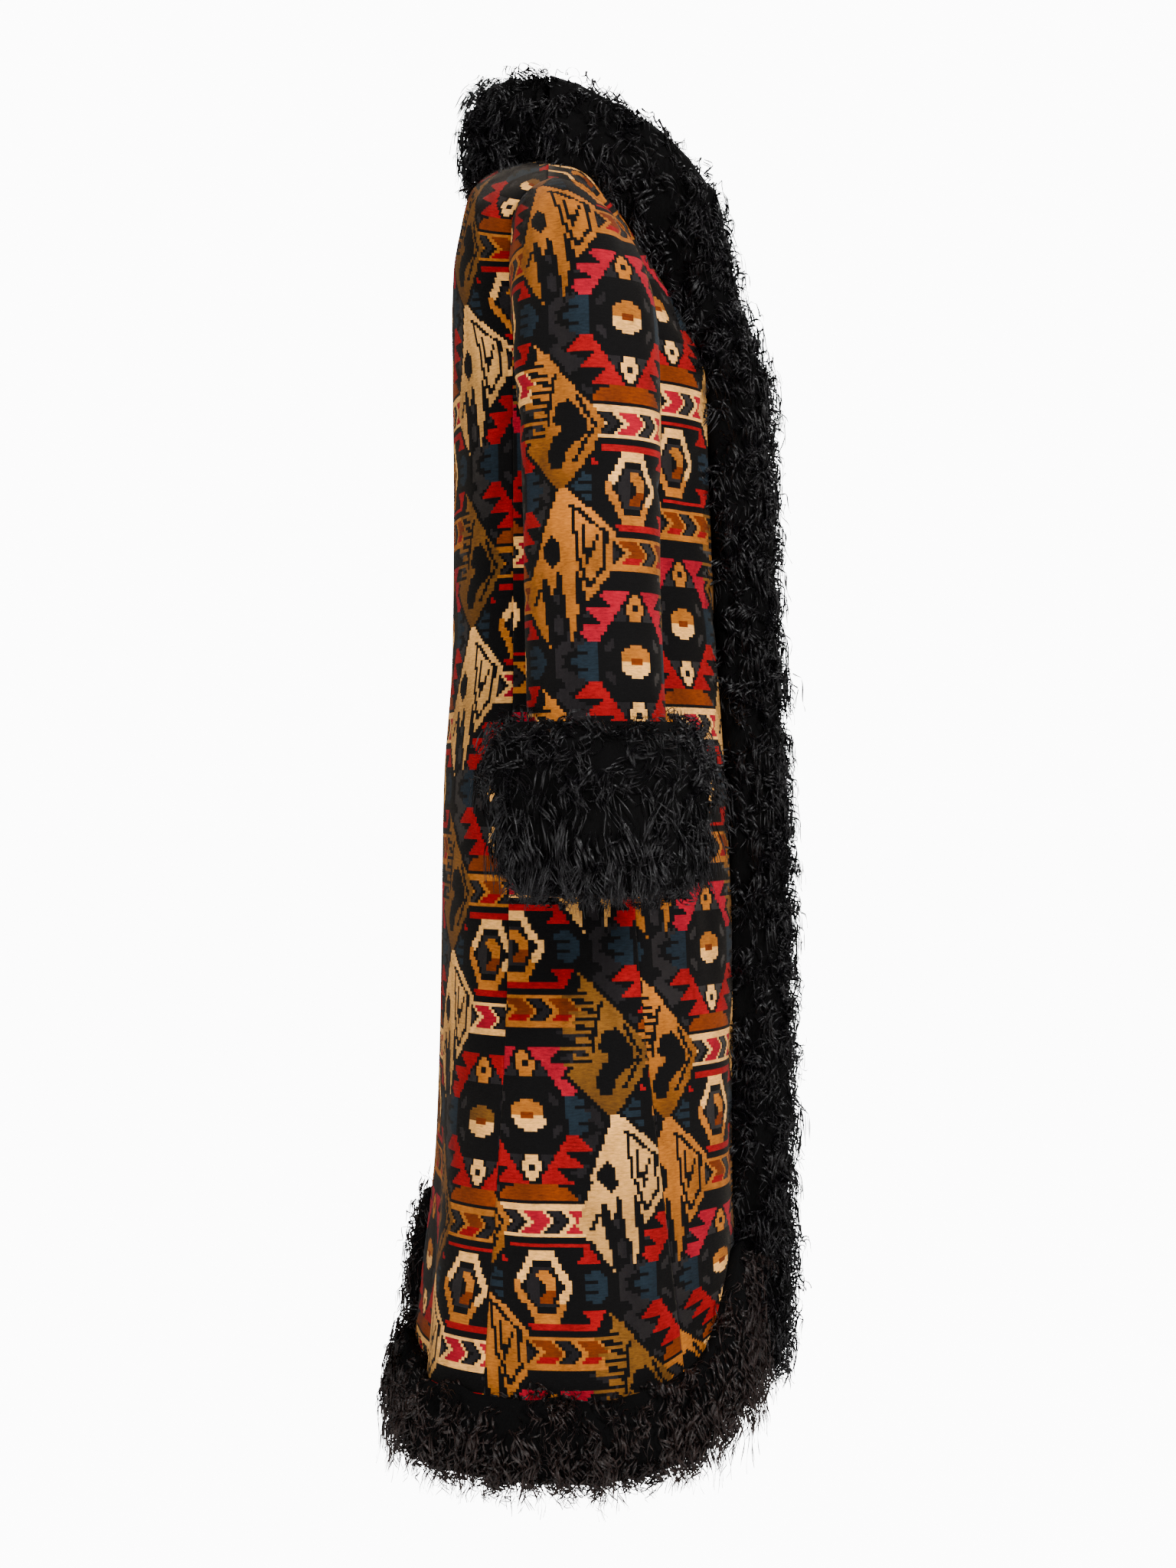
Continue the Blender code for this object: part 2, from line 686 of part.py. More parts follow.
def front_band_sections(points, normals, collar_end):
    """The right front band: its seat is the front's own points, moved out.

    Its top rows take the form of the collar's end, so that the fur runs on round the neck.
    """
    stations = BAND_STATIONS + 1
    seat = np.concatenate([
        lengthened(points[: LOWER_ROWS + 1, :stations], 2)[:-1],
        lengthened(points[LOWER_ROWS:, :stations], 2),
    ])
    out = np.concatenate([
        lengthened(normals[: LOWER_ROWS + 1, :stations], 2)[:-1],
        lengthened(normals[LOWER_ROWS:, :stations], 2),
    ])
    foot = np.array([0.0, 0.0, -BAND_BOTTOM_BELOW_HEM])
    below = [seat[0] + foot * (BAND_FOOT_ROWS - k) / BAND_FOOT_ROWS for k in range(BAND_FOOT_ROWS)]
    seat = np.concatenate([below, seat])
    out = np.concatenate([[out[0]] * BAND_FOOT_ROWS, out])
    sections, run, last = [], 0.0, len(seat) - 1
    for k in range(len(seat)):
        if k:
            run += float(np.linalg.norm(seat[k, 1] - seat[k - 1, 1]))
        height = (seat[k, 0, 2] - V_START_Z) / (NECK_Z - V_START_Z)
        foot_share = smooth(k / BAND_FOOT_ROWS)
        full = 1 + (BAND_TOP_SHARE - 1) * smooth(1.5 * height)
        full *= BAND_FOOT_DEPTH + (1 - BAND_FOOT_DEPTH) * foot_share
        inset = BAND_FOOT_INSET * (1 - foot_share)
        width = float(np.linalg.norm(seat[k, -1] - seat[k, 0]))
        across = unit(seat[k, -1] - seat[k, 0])
        section = [seat[k, c] + out[k, c] * LAY_GAP for c in reversed(range(stations))]
        for c, corner in enumerate(BAND_SECTION):
            share = inset + corner.along * (1 - 2 * inset)
            within = min(max(share, 0.0), 1.0)
            cell = min(int(within * BAND_STATIONS), BAND_STATIONS - 1)
            rest = within * BAND_STATIONS - cell
            base = seat[k, cell] + (seat[k, cell + 1] - seat[k, cell]) * rest
            normal = unit(out[k, cell] + (out[k, cell + 1] - out[k, cell]) * rest)
            shift = LUMP_DEPTH * lump(run, share, 0.4) * min(corner.out / 0.05, 1.0)
            spot = base + across * (share - within) * width + normal * (corner.out * full + shift)
            blend = smooth(1 - (last - k) / BAND_BLEND_ROWS)
            target = collar_end[len(BAND_SECTION) - 1 - c] - seat[last, 0] + seat[k, 0]
            spot = spot + (target - spot) * blend
            spot[0] = min(spot[0], -FRONT_EDGE_X * 0.8)
            spot[1] = min(spot[1], -SEAM_GAP)
            section.append(spot)
        sections.append(section)
    return np.array(sections)


def up_the_cloth(column_points, height):
    """The place on one column of the cloth's grid that lies this high above the hem's edge."""
    levels = column_points[:, 2] - column_points[0, 2]
    if height <= 0:
        climb = (column_points[1] - column_points[0]) / levels[1]
        return column_points[0] + climb * height
    return np.array([np.interp(height, levels, column_points[:, k]) for k in range(3)])


def hem_sections(front, side, back):
    """Half of the hem's fur, from the right band to the back seam, wrapped round the edge."""
    (fp, fn), (sp, sn), (bp, bn) = front, side, back
    low = slice(0, HEM_GRID_ROWS)
    pieces = [(fp[low, BAND_STATIONS:], fn[0, BAND_STATIONS:]), (sp[low], sn[0]), (bp[low], bn[0])]
    columns = np.concatenate([p[:, :-1] for p, _ in pieces[:2]] + [pieces[2][0]], axis=1)
    out = np.concatenate([n[:-1] for _, n in pieces[:2]] + [pieces[2][1]])
    columns = np.array([lengthened(row, 2) for row in columns])
    out = lengthened(out, 2)
    for end, step, clear in ((0, 1, CORNER_CLEAR), (-1, -1, SEAM_GAP)):
        along = columns[:, end + step] - columns[:, end]
        along /= np.linalg.norm(along, axis=1, keepdims=True)
        columns[:, end] += along * clear
    edge = columns[0]
    run = np.concatenate([[0], np.cumsum(np.linalg.norm(np.diff(edge, axis=0), axis=1))])
    bend = columns[1, 0, 2] - columns[0, 0, 2]
    sections = []
    for k in range(len(edge)):
        normal = unit(np.array([out[k, 0], out[k, 1], 0.0]))
        rise = HEM_CORNER_RISE * (1 - smooth((run[k] - HEM_CORNER_FLAT) / HEM_CORNER_RUN))
        top = HEM_TOP + rise
        middle = bend if top > bend else top / 2
        section = [up_the_cloth(columns[:, k], h) + out[k] * LAY_GAP for h in (-LAY_GAP, middle, top)]
        for c, corner in enumerate(HEM_SECTION):
            height = corner.along + rise * max(0.0, 1 - c / 3)
            shift = LUMP_DEPTH * lump(run[k], c / 3, 1.9) * min(max(corner.out, 0) / 0.03, 1.0)
            section.append(up_the_cloth(columns[:, k], height) + normal * (corner.out + shift))
        sections.append(section)
    sections = np.array(sections)
    sections[..., 0] = np.minimum(sections[..., 0], -SEAM_GAP)
    return sections


def vent_sections(points, normals):
    """The fur strip up the left edge of the back vent, laid on the back's own points."""
    stations = VENT_COLUMNS + 1
    strip, out = points[:6, :stations].copy(), normals[:6, :stations]
    hem_top = strip[0, 0, 2] + HEM_SECTION[0].along + VENT_CLEAR
    sections = []
    for k in range(VENT_ROWS + 1):
        z = hem_top + (VENT_TOP_Z - hem_top) * k / VENT_ROWS
        row = [
            up_the_cloth(strip[:, c], z - strip[0, c, 2]) + out[0, c] * LAY_GAP
            for c in range(stations)
        ]
        row = np.array(row)
        swell = math.sin(math.pi * (k + 0.6) / (VENT_ROWS + 1.2)) ** 0.6
        full = VENT_END_DEPTH + (1 - VENT_END_DEPTH) * swell
        section = list(row[::-1])
        for c, corner in enumerate(VENT_SECTION):
            place = corner.along * VENT_COLUMNS
            cell = min(int(place), VENT_COLUMNS - 1)
            base = row[cell] + (row[cell + 1] - row[cell]) * (place - cell)
            shift = 0.6 * LUMP_DEPTH * lump(z, corner.along, 2.6)
            section.append(base + out[0, cell] * (corner.out * full + shift))
        sections.append(section)
    sections = np.array(sections)
    sections[..., 0] = np.maximum(sections[..., 0], SEAM_GAP)
    return sections


def cuff_sections(sleeve, normals):
    """The right cuff's fur, a ring wrapped round the sleeve's end."""
    end = lengthened(np.concatenate([sleeve[-1], sleeve[-1][:1]]), 2)[:-1]
    above = lengthened(np.concatenate([sleeve[-3], sleeve[-3][:1]]), 2)[:-1]
    out = lengthened(np.concatenate([normals[-1], normals[-1][:1]]), 2)[:-1]
    middle = end.mean(axis=0)
    run = np.concatenate([[0], np.cumsum(np.linalg.norm(np.diff(end, axis=0), axis=1))])
    sections = []
    for k in range(len(end)):
        climb = (above[k] - end[k]) / (above[k, 2] - end[k, 2])
        radial = end[k] - middle
        normal = unit(np.array([radial[0], radial[1], 0.0]))
        full = 1 - (1 - CUFF_INNER_SHARE) * smooth(0.5 + normal[0])
        low = end[k] - climb * LAY_GAP + out[k] * LAY_GAP
        section = [low, end[k] + climb * CUFF_TOP + out[k] * LAY_GAP]
        for c, corner in enumerate(CUFF_SECTION):
            turn = 2 * math.pi * k / len(end)
            few, many, some = CUFF_TUFTS
            wave = math.sin(few * turn + 1.7 * c) + math.sin(many * turn - 0.9 * c)
            wave += math.sin(some * turn + 4)
            shift = LUMP_DEPTH * wave / 2.6 * min(max(corner.out, 0) / 0.03, 1.0)
            reach = (corner.out + shift) * (full if corner.out > 0 else 1.0)
            section.append(end[k] + climb * corner.along + normal * reach)
        sections.append(section)
    return np.array(sections)


def shoulder_height(x, y):
    """The height of the yoke's outer face above one place near the neck."""
    table, low, high = (back_depth if y > 0 else front_depth), ARMPIT_Z, float(ridge(abs(x)))
    for _ in range(40):
        middle = (low + high) / 2
        if yoke_depth(x, middle, table) > abs(y):
            low = middle
        else:
            high = middle
    return high


def collar_sections():
    """The collar: it stands on the neck seam from one shoulder to the other, round the back."""
    sections = []
    for k in range(COLLAR_STATIONS + 1):
        turn = COLLAR_REACH * (2 * k / COLLAR_STATIONS - 1)
        x = NECK_HALF * math.sin(turn)
        dip = NECK_BACK_DIP * (1 - (x / NECK_HALF) ** 2)
        seam_z = float(ridge(abs(x))) - dip
        seam = np.array([x, yoke_depth(x, seam_z, back_depth), seam_z])
        out = unit(np.array([math.sin(turn), 0.8 * math.cos(turn), 0.0]))
        high = COLLAR_SIDE_SHARE + (1 - COLLAR_SIDE_SHARE) * math.cos(turn)
        section = []
        for seat in COLLAR_SEATS:
            spot = seam + out * seat
            spot[2] = shoulder_height(spot[0], spot[1])
            section.append(spot + yoke_normal(spot[0], spot[2], back_depth, 1) * COLLAR_GAP)
        for c, corner in enumerate(COLLAR_SECTION):
            shift = LUMP_DEPTH * lump(0.11 * turn, c / 3, 3.1) * (0.4 if corner.out < 0 else 1.0)
            spot = seam + out * (corner.out + shift)
            spot[2] = seam_z + corner.along * high + 0.5 * shift
            section.append(spot)
        sections.append(section)
    return np.array(sections)


def finish(name, colour, roughness):
    """A plain Principled material."""
    material = bpy.data.materials.new(name)
    material.use_nodes = True
    shader = material.node_tree.nodes["Principled BSDF"]
    shader.inputs["Base Color"].default_value = (*colour, 1.0)
    shader.inputs["Roughness"].default_value = roughness
    shader.inputs["Metallic"].default_value = 0.0
    material.diffuse_color = (*colour, 1.0)
    return material


def main():
    for obj in list(bpy.data.objects):
        bpy.data.objects.remove(obj)

    velvet = finish("velvet", (0.16, 0.085, 0.045), 0.85)
    fur = finish("fur", (0.012, 0.011, 0.012), 0.60)

    front, front_out = front_grid()
    side, side_out = side_grid()
    back, back_out = back_grid()
    sleeve = sleeve_grid(armhole_ring(front, side, back))
    sleeve_out = grid_normals(sleeve)

    collar = collar_sections()
    band = front_band_sections(front, front_out, collar[0][len(COLLAR_SEATS) :])
    cuff = cuff_sections(sleeve, sleeve_out)
    hem = hem_sections((front, front_out), (side, side_out), (back, back_out))
    for name, flip in (("right", lambda points: points), ("left", mirrored)):
        add_wall(f"front_{name}", flip(front), flip(front_out), velvet)
        add_wall(f"side_{name}", flip(side), flip(side_out), velvet)
        add_wall(f"back_{name}", flip(back), flip(back_out), velvet)
        add_wall(f"sleeve_{name}", flip(sleeve), flip(sleeve_out), velvet, closed=True)
        add_pelt(f"fur_band_{name}", flip(band), fur)
        add_pelt(f"fur_hem_{name}", flip(hem), fur)
        add_pelt(f"fur_cuff_{name}", flip(cuff), fur, ring=True)
    add_pelt("fur_collar", collar, fur)
    vent = vent_sections(mirrored(back)[:, ::-1], mirrored(back_out)[:, ::-1])
    add_pelt("fur_vent", vent, fur)


main()
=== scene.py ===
"""Finished look of a full-length velvet coat with curly lamb fur on its edges.

The velvet panels are woven cell by cell: every small quad of a panel is one step of the
pattern, with its own colour and its own height of pile. The fur is made of curled ribbons
in clumps over a dark underfur. Metres, +Z up, the coat faces -Y.
"""

from __future__ import annotations

import logging
import math
from dataclasses import dataclass, field
from enum import Enum
from typing import Callable, NamedTuple, Optional, Sequence, Union

import bpy
import numpy as np
from numpy.typing import NDArray
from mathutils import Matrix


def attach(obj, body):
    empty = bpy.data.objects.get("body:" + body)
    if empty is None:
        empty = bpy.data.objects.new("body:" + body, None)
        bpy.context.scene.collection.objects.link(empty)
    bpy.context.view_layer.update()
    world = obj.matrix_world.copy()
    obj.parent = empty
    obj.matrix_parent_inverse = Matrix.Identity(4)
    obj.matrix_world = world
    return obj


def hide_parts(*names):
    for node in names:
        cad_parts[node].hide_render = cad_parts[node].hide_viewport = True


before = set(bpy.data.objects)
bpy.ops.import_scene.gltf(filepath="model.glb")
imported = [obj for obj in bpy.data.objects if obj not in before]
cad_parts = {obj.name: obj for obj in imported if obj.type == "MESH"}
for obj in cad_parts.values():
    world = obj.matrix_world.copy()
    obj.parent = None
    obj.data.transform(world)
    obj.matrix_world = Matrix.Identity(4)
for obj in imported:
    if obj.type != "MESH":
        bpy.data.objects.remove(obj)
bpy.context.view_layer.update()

Array = NDArray[np.float64]
Indices = NDArray[np.int64]
Mask = NDArray[np.bool_]
LOG = logging.getLogger("coat")

# Cloth
WALL = 0.0024
SEAM_LAP = 0.0005
CELL = 0.0030
PILE_HEIGHT = 0.0007
SEAM_SINK = 0.0009
ROW_SAMPLES = 150
INNER_STEP = 0.016
LINING = (0.030, 0.026, 0.024, 0.0)
CREASE_BOW = 0.12
BODY_MIDDLE = (0.0, 0.02, -0.5)

# Heights of the cut
ARMPIT_Z = -0.235
HEM_SIDE_Z = -1.235
HEM_FRONT_RISE = 0.047
HEM_RISE_FLAT = 0.085
HEM_RISE_RUN = 0.110
HEM_RISE_FADE = 0.20

# Neck and shoulder
NECK_HALF = 0.085
NECK_Z = -0.018
NECK_BACK_DIP = 0.012
SHOULDER_HALF = 0.186
SHOULDER_Z = -0.074
V_START_Z = -0.205
V_POWER = 1.15
FRONT_EDGE_X = 0.0022
YOKE_MEASURE_X = 0.135

# Sleeve
UNDERARM_DROP = 0.042
SLEEVE_START = 0.0016
WRIST_Z = -0.690
SLEEVE_SLANT = 1.012
SLEEVE_TOP_CELLS = 0.35
ARMHOLE_SAMPLES = 1601
CAP_SAMPLES = 400
SLEEVE_JOINED = 0.006

# Repeat of the woven pattern
COLUMN_PITCH = 0.147
REPEAT = 0.312


class Section(NamedTuple):
    """One level of the body: half width, depth ahead of and behind Y = 0, and squareness."""

    z: float
    half_width: float
    front: float
    back: float
    corner: float


BODY = tuple(Section(*row) for row in (
    (0.012, 0.189, 0.000, 0.000, 3.20),
    (0.006, 0.189, 0.025, 0.028, 3.20),
    (-0.004, 0.189, 0.040, 0.052, 3.20),
    (-0.015, 0.189, 0.050, 0.068, 3.20),
    (-0.035, 0.189, 0.064, 0.082, 3.20),
    (-0.070, 0.188, 0.084, 0.090, 3.15),
    (-0.120, 0.185, 0.112, 0.098, 2.95),
    (-0.180, 0.179, 0.145, 0.100, 2.70),
    (-0.235, 0.172, 0.168, 0.100, 2.50),
    (-0.350, 0.168, 0.174, 0.099, 2.45),
    (-0.500, 0.177, 0.179, 0.100, 2.45),
    (-0.650, 0.196, 0.186, 0.109, 2.45),
    (-0.800, 0.208, 0.191, 0.111, 2.45),
    (-1.000, 0.220, 0.191, 0.114, 2.45),
    (-1.150, 0.231, 0.191, 0.127, 2.45),
    (-1.320, 0.244, 0.192, 0.143, 2.45),
))


class SideSeams(NamedTuple):
    """Where the side panel's two seams stand, as Y, at one level."""

    z: float
    to_front: float
    to_back: float


SEAMS = tuple(SideSeams(*row) for row in (
    (-0.235, -0.062, 0.034),
    (-0.500, -0.070, 0.033),
    (-0.800, -0.085, 0.037),
    (-1.200, -0.131, 0.0615),
    (-1.320, -0.142, 0.067),
))


class Fold(NamedTuple):
    """One soft flute of the skirt. around runs 0 to 1 from the right front edge over the back."""

    around: float
    top_z: float
    depth: float
    width: float


FOLDS = tuple(Fold(*row) for row in (
    (0.115, -0.62, 0.0060, 0.022),
    (0.170, -0.80, -0.0045, 0.024),
    (0.240, -0.85, 0.0040, 0.030),
    (0.310, -0.70, -0.0060, 0.022),
    (0.365, -0.78, 0.0070, 0.022),
    (0.425, -0.88, -0.0080, 0.022),
    (0.495, -0.74, 0.0070, 0.026),
    (0.570, -0.84, -0.0070, 0.022),
    (0.630, -0.72, 0.0060, 0.024),
    (0.692, -0.82, -0.0055, 0.022),
    (0.765, -0.90, 0.0045, 0.028),
    (0.833, -0.76, -0.0050, 0.022),
    (0.888, -0.66, 0.0055, 0.022),
))


class Crease(NamedTuple):
    """A soft trough (depth below 0) or ridge laid on a panel.

    across and up are its middle on the flat panel, run is half its length, lean is how far it
    slants, in degrees from level, and width is its half width.
    """

    across: float
    up: float
    run: float
    lean: float
    width: float
    depth: float


SLEEVE_CREASES = tuple(Crease(*row) for row in (
    (-0.030, -0.205, 0.150, 86, 0.013, -0.0042),
    (-0.052, -0.330, 0.120, 80, 0.012, -0.0036),
    (0.020, -0.300, 0.045, 18, 0.010, -0.0026),
    (-0.010, -0.345, 0.055, -14, 0.011, -0.0030),
    (0.034, -0.385, 0.050, 12, 0.010, -0.0028),
    (-0.030, -0.430, 0.060, -10, 0.012, -0.0026),
    (0.012, -0.500, 0.060, 9, 0.013, -0.0026),
    (0.050, -0.130, 0.070, 64, 0.012, -0.0030),
    (0.090, -0.360, 0.060, -20, 0.011, -0.0028),
    (-0.110, -0.300, 0.060, 24, 0.011, -0.0028),
    (0.004, -0.255, 0.120, 88, 0.020, 0.0022),
))
BACK_CREASES = tuple(Crease(*row) for row in (
    (-0.075, -0.300, 0.120, 74, 0.016, -0.0036),
    (-0.110, -0.420, 0.090, 32, 0.014, -0.0032),
    (-0.060, -0.520, 0.080, 24, 0.014, -0.0030),
    (-0.120, -0.620, 0.110, 80, 0.017, -0.0034),
    (-0.050, -0.700, 0.080, 16, 0.014, -0.0022),
    (-0.140, -0.160, 0.090, 58, 0.014, -0.0034),
    (-0.060, -0.130, 0.060, 20, 0.013, -0.0024),
))
SIDE_CREASES = tuple(Crease(*row) for row in (
    (0.018, -0.860, 0.140, 86, 0.016, -0.0032),
    (-0.030, -0.980, 0.150, 92, 0.017, -0.0034),
    (0.040, -1.060, 0.120, 84, 0.014, -0.0028),
    (0.000, -0.640, 0.060, 20, 0.012, -0.0024),
    (-0.010, -0.480, 0.050, -16, 0.012, -0.0024),
    (0.004, -1.130, 0.080, 88, 0.020, 0.0026),
))
FRONT_CREASES = tuple(Crease(*row) for row in (
    (-0.130, -0.360, 0.100, 70, 0.015, -0.0034),
    (-0.090, -0.480, 0.060, -22, 0.012, -0.0026),
    (-0.150, -0.760, 0.150, 88, 0.016, -0.0034),
    (-0.100, -0.980, 0.140, 92, 0.017, -0.0032),
    (-0.120, -0.190, 0.070, -52, 0.013, -0.0028),
))


def shifted(
    creases: tuple[Crease, ...], across: float, up: float, share: float
) -> tuple[Crease, ...]:
    """Another piece's creases, moved and made a little other.

    Args:
        creases: the creases to start from.
        across: how far they move across.
        up: how far they move up.
        share: their new depth for a depth of 1.

    Returns:
        The new creases, each turned a few degrees by its place in the list.
    """
    return tuple(
        crease._replace(
            across=crease.across * 0.92 + across, up=crease.up + up * (1 + 0.4 * (k % 3)),
            lean=crease.lean + 5 * (k % 3 - 1), depth=crease.depth * share,
        )
        for k, crease in enumerate(creases)
    )


class Armhole(NamedTuple):
    """The armhole's edge, up from the armpit (0) to the shoulder (1), as half widths."""

    up: float
    front_x: float
    back_x: float


ARMHOLE = tuple(Armhole(*row) for row in (
    (0.35, 0.1680, 0.1790),
    (0.70, 0.1650, 0.1855),
    (0.90, 0.1755, 0.1865),
    (1.00, 0.1860, 0.1860),
))


class Arm(NamedTuple):
    """One level of the right sleeve: its middle and its half widths across and fore and aft."""

    z: float
    x: float
    y: float
    half_x: float
    half_y: float


ARM = tuple(Arm(*row) for row in (
    (-0.235, -0.2400, -0.036, 0.0570, 0.0670),
    (-0.350, -0.2500, -0.041, 0.0560, 0.0630),
    (-0.460, -0.2640, -0.042, 0.0540, 0.0610),
    (-0.590, -0.2870, -0.046, 0.0540, 0.0615),
    (-0.690, -0.3060, -0.050, 0.0560, 0.0635),
))


def smooth(t: Union[float, Array]) -> Array:
    """0 to 1 with flat ends.

    Args:
        t: any numbers.

    Returns:
        3t^2 - 2t^3 with t held between 0 and 1.
    """
    t = np.clip(t, 0.0, 1.0)
    return t * t * (3 - 2 * t)


def saw(t: Array) -> Array:
    """A zigzag between 0 and 1 that repeats once a unit.

    Args:
        t: any numbers.

    Returns:
        0 at whole numbers and 1 halfway between them.
    """
    return 1 - np.abs(2 * (t - np.floor(t)) - 1)


def unit(v: Array) -> Array:
    """Vectors of length 1.

    Args:
        v: vectors along the last axis.

    Returns:
        The same directions with length 1.
    """
    return v / np.maximum(np.linalg.norm(v, axis=-1, keepdims=True), 1e-12)


class Curve:
    """A smooth line through a table's rows that never swings past them (a monotone cubic)."""

    def __init__(self, stations: Sequence[float], values: Sequence[float]) -> None:
        """Fits the line.

        Args:
            stations: where the values stand, in any order.
            values: the values.
        """
        order = np.argsort(stations)
        self.x = np.array(stations, float)[order]
        self.y = np.array(values, float)[order]
        run = np.diff(self.x)
        rise = np.diff(self.y) / run
        before, after = rise[:-1], rise[1:]
        same = before * after > 0
        total = np.where(same, before + after, 1.0)
        inner = np.where(same, 2 * before * after / total, 0.0)
        self.slope = np.concatenate([rise[:1], inner, rise[-1:]])

    def __call__(self, at: Union[float, Array]) -> Array:
        """Values of the line.

        Args:
            at: the places asked for; beyond the ends the end value is given.

        Returns:
            The values there.
        """
        at = np.clip(at, self.x[0], self.x[-1])
        k = np.clip(np.searchsorted(self.x, at) - 1, 0, len(self.x) - 2)
        run = self.x[k + 1] - self.x[k]
        t = (at - self.x[k]) / run
        return (
            self.y[k] * (1 + 2 * t) * (1 - t) ** 2
            + self.y[k + 1] * t * t * (3 - 2 * t)
            + run * (self.slope[k] * t * (1 - t) ** 2 + self.slope[k + 1] * t * t * (t - 1))
        )


def column(table: Sequence[NamedTuple], key: str, value: str) -> Curve:
    """The Curve of one named column of a table against another.

    Args:
        table: rows with named columns.
        key: the column to run along.
        value: the column of values.

    Returns:
        The smooth line through them.
    """
    return Curve([getattr(row, key) for row in table], [getattr(row, value) for row in table])


class CoatForm:
    """The coat's worn form: body below the armpits, yoke above them, and the right sleeve."""

    OUTLINE_STEP = 0.004
    OUTLINE_SAMPLES = 480
    LOWEST_Z = -1.36
    HIGHEST_Z = -0.19

    def __init__(self) -> None:
        """Prepares the curves and the table of outlines that the other methods read."""
        self.half_width = column(BODY, "z", "half_width")
        self.depth = {-1: column(BODY, "z", "front"), 1: column(BODY, "z", "back")}
        self.corner = column(BODY, "z", "corner")
        self.to_front = column(SEAMS, "z", "to_front")
        self.to_back = column(SEAMS, "z", "to_back")
        self.ridge = Curve(
            [0.0, NECK_HALF, SHOULDER_HALF, 0.230],
            [BODY[0].z, NECK_Z, SHOULDER_Z, -0.108],
        )
        self.arm_x = column(ARM, "z", "x")
        self.arm_y = column(ARM, "z", "y")
        self.arm_half_x = column(ARM, "z", "half_x")
        self.arm_half_y = column(ARM, "z", "half_y")
        self._tabulate()

    def _tabulate(self) -> None:
        """Fills the table of right half outlines, level by level, at even steps of length."""
        levels = np.arange(self.LOWEST_Z, self.HIGHEST_Z, self.OUTLINE_STEP)
        angle = np.linspace(0, math.pi, self.OUTLINE_SAMPLES + 1)
        share = np.linspace(0, 1, self.OUTLINE_SAMPLES + 1)
        xs, ys, runs = [], [], []
        for z in levels:
            power = 2 / self.corner(z)
            x = -self.half_width(z) * np.abs(np.sin(angle)) ** power
            deep = np.where(angle < math.pi / 2, -self.depth[-1](z), self.depth[1](z))
            y = deep * np.abs(np.cos(angle)) ** power
            run = np.concatenate([[0], np.cumsum(np.hypot(np.diff(x), np.diff(y)))])
            xs.append(np.interp(share * run[-1], run, x))
            ys.append(np.interp(share * run[-1], run, y))
            runs.append(run[-1])
        self.levels = levels
        self.outline = np.stack([np.array(xs), np.array(ys)], axis=-1)
        self.tangent = unit(np.gradient(self.outline, axis=1))
        self.half_run = np.array(runs)

    def girth(self, z: Union[float, Array]) -> Array:
        """Length of half the outline at a level, without folds.

        Args:
            z: levels.

        Returns:
            The length from centre front to centre back.
        """
        return np.interp(z, self.levels, self.half_run)

    def _look_up(self, table: Array, share: Array, z: Array) -> Array:
        """Values between the rows and columns of an outline table.

        Args:
            table: values by level and by share of the half outline.
            share: 0 at centre front, 1 at centre back.
            z: levels.

        Returns:
            The values there, straight between the four nearest.
        """
        row = np.clip((z - self.levels[0]) / self.OUTLINE_STEP, 0, len(self.levels) - 1.001)
        col = np.clip(share * self.OUTLINE_SAMPLES, 0, self.OUTLINE_SAMPLES - 0.001)
        r, c = row.astype(int), col.astype(int)
        fr, fc = (row - r)[..., None], (col - c)[..., None]
        low = table[r, c] * (1 - fc) + table[r, c + 1] * fc
        high = table[r + 1, c] * (1 - fc) + table[r + 1, c + 1] * fc
        return low * (1 - fr) + high * fr

    def fold_depth(self, around: Array, z: Array) -> Array:
        """How far the flutes push the skirt out (or, below 0, in).

        Args:
            around: share of the whole way round, 0 and 1 at the front edges.
            z: levels.

        Returns:
            The sum of the flutes, each a bell across and growing from its top to the hem.
        """
        total = np.zeros(np.broadcast(around, z).shape)
        for fold in FOLDS:
            down = smooth((fold.top_z - z) / (fold.top_z - HEM_SIDE_Z))
            total += fold.depth * down * np.exp(-(((around - fold.around) / fold.width) ** 2))
        return total

    def body(self, along: Array, z: Array, left: bool) -> Array:
        """The outer face of the right half below the armpit.

        Args:
            along: distance from centre front along the outline.
            z: levels.
            left: take the left half's folds, still drawn on the right.

        Returns:
            Points: the outline's point moved out by the flutes.
        """
        share = along / self.girth(z)
        flat = self._look_up(self.outline, share, z)
        tangent = self._look_up(self.tangent, share, z)
        around = 1 - share / 2 if left else share / 2
        push = self.fold_depth(around, z)
        x = flat[..., 0] - tangent[..., 1] * push
        y = flat[..., 1] + tangent[..., 0] * push
        return np.stack([x, y, np.broadcast_to(z, x.shape)], axis=-1)

    def seam_along(self, z: Array, seam: Curve) -> Array:
        """Where a side seam stands, as distance from centre front.

        Args:
            z: levels.
            seam: the seam's Y by level.

        Returns:
            The distances along the outline.
        """
        share = np.linspace(0.1, 0.9, 400)
        found = []
        for level, y in zip(z, seam(z)):
            line = self._look_up(self.outline, share, np.full(share.shape, level))
            found.append(np.interp(y, line[:, 1], share))
        return np.array(found) * self.girth(z)

    def hem_rise(self, along: Array, z: Array) -> Array:
        """How much higher the hem is cut across the front.

        Args:
            along: distance from centre front.
            z: levels.

        Returns:
            The rise of the edge there.
        """
        share = along / self.girth(z) / 2
        return HEM_FRONT_RISE * (1 - smooth((share - HEM_RISE_FLAT) / HEM_RISE_RUN))

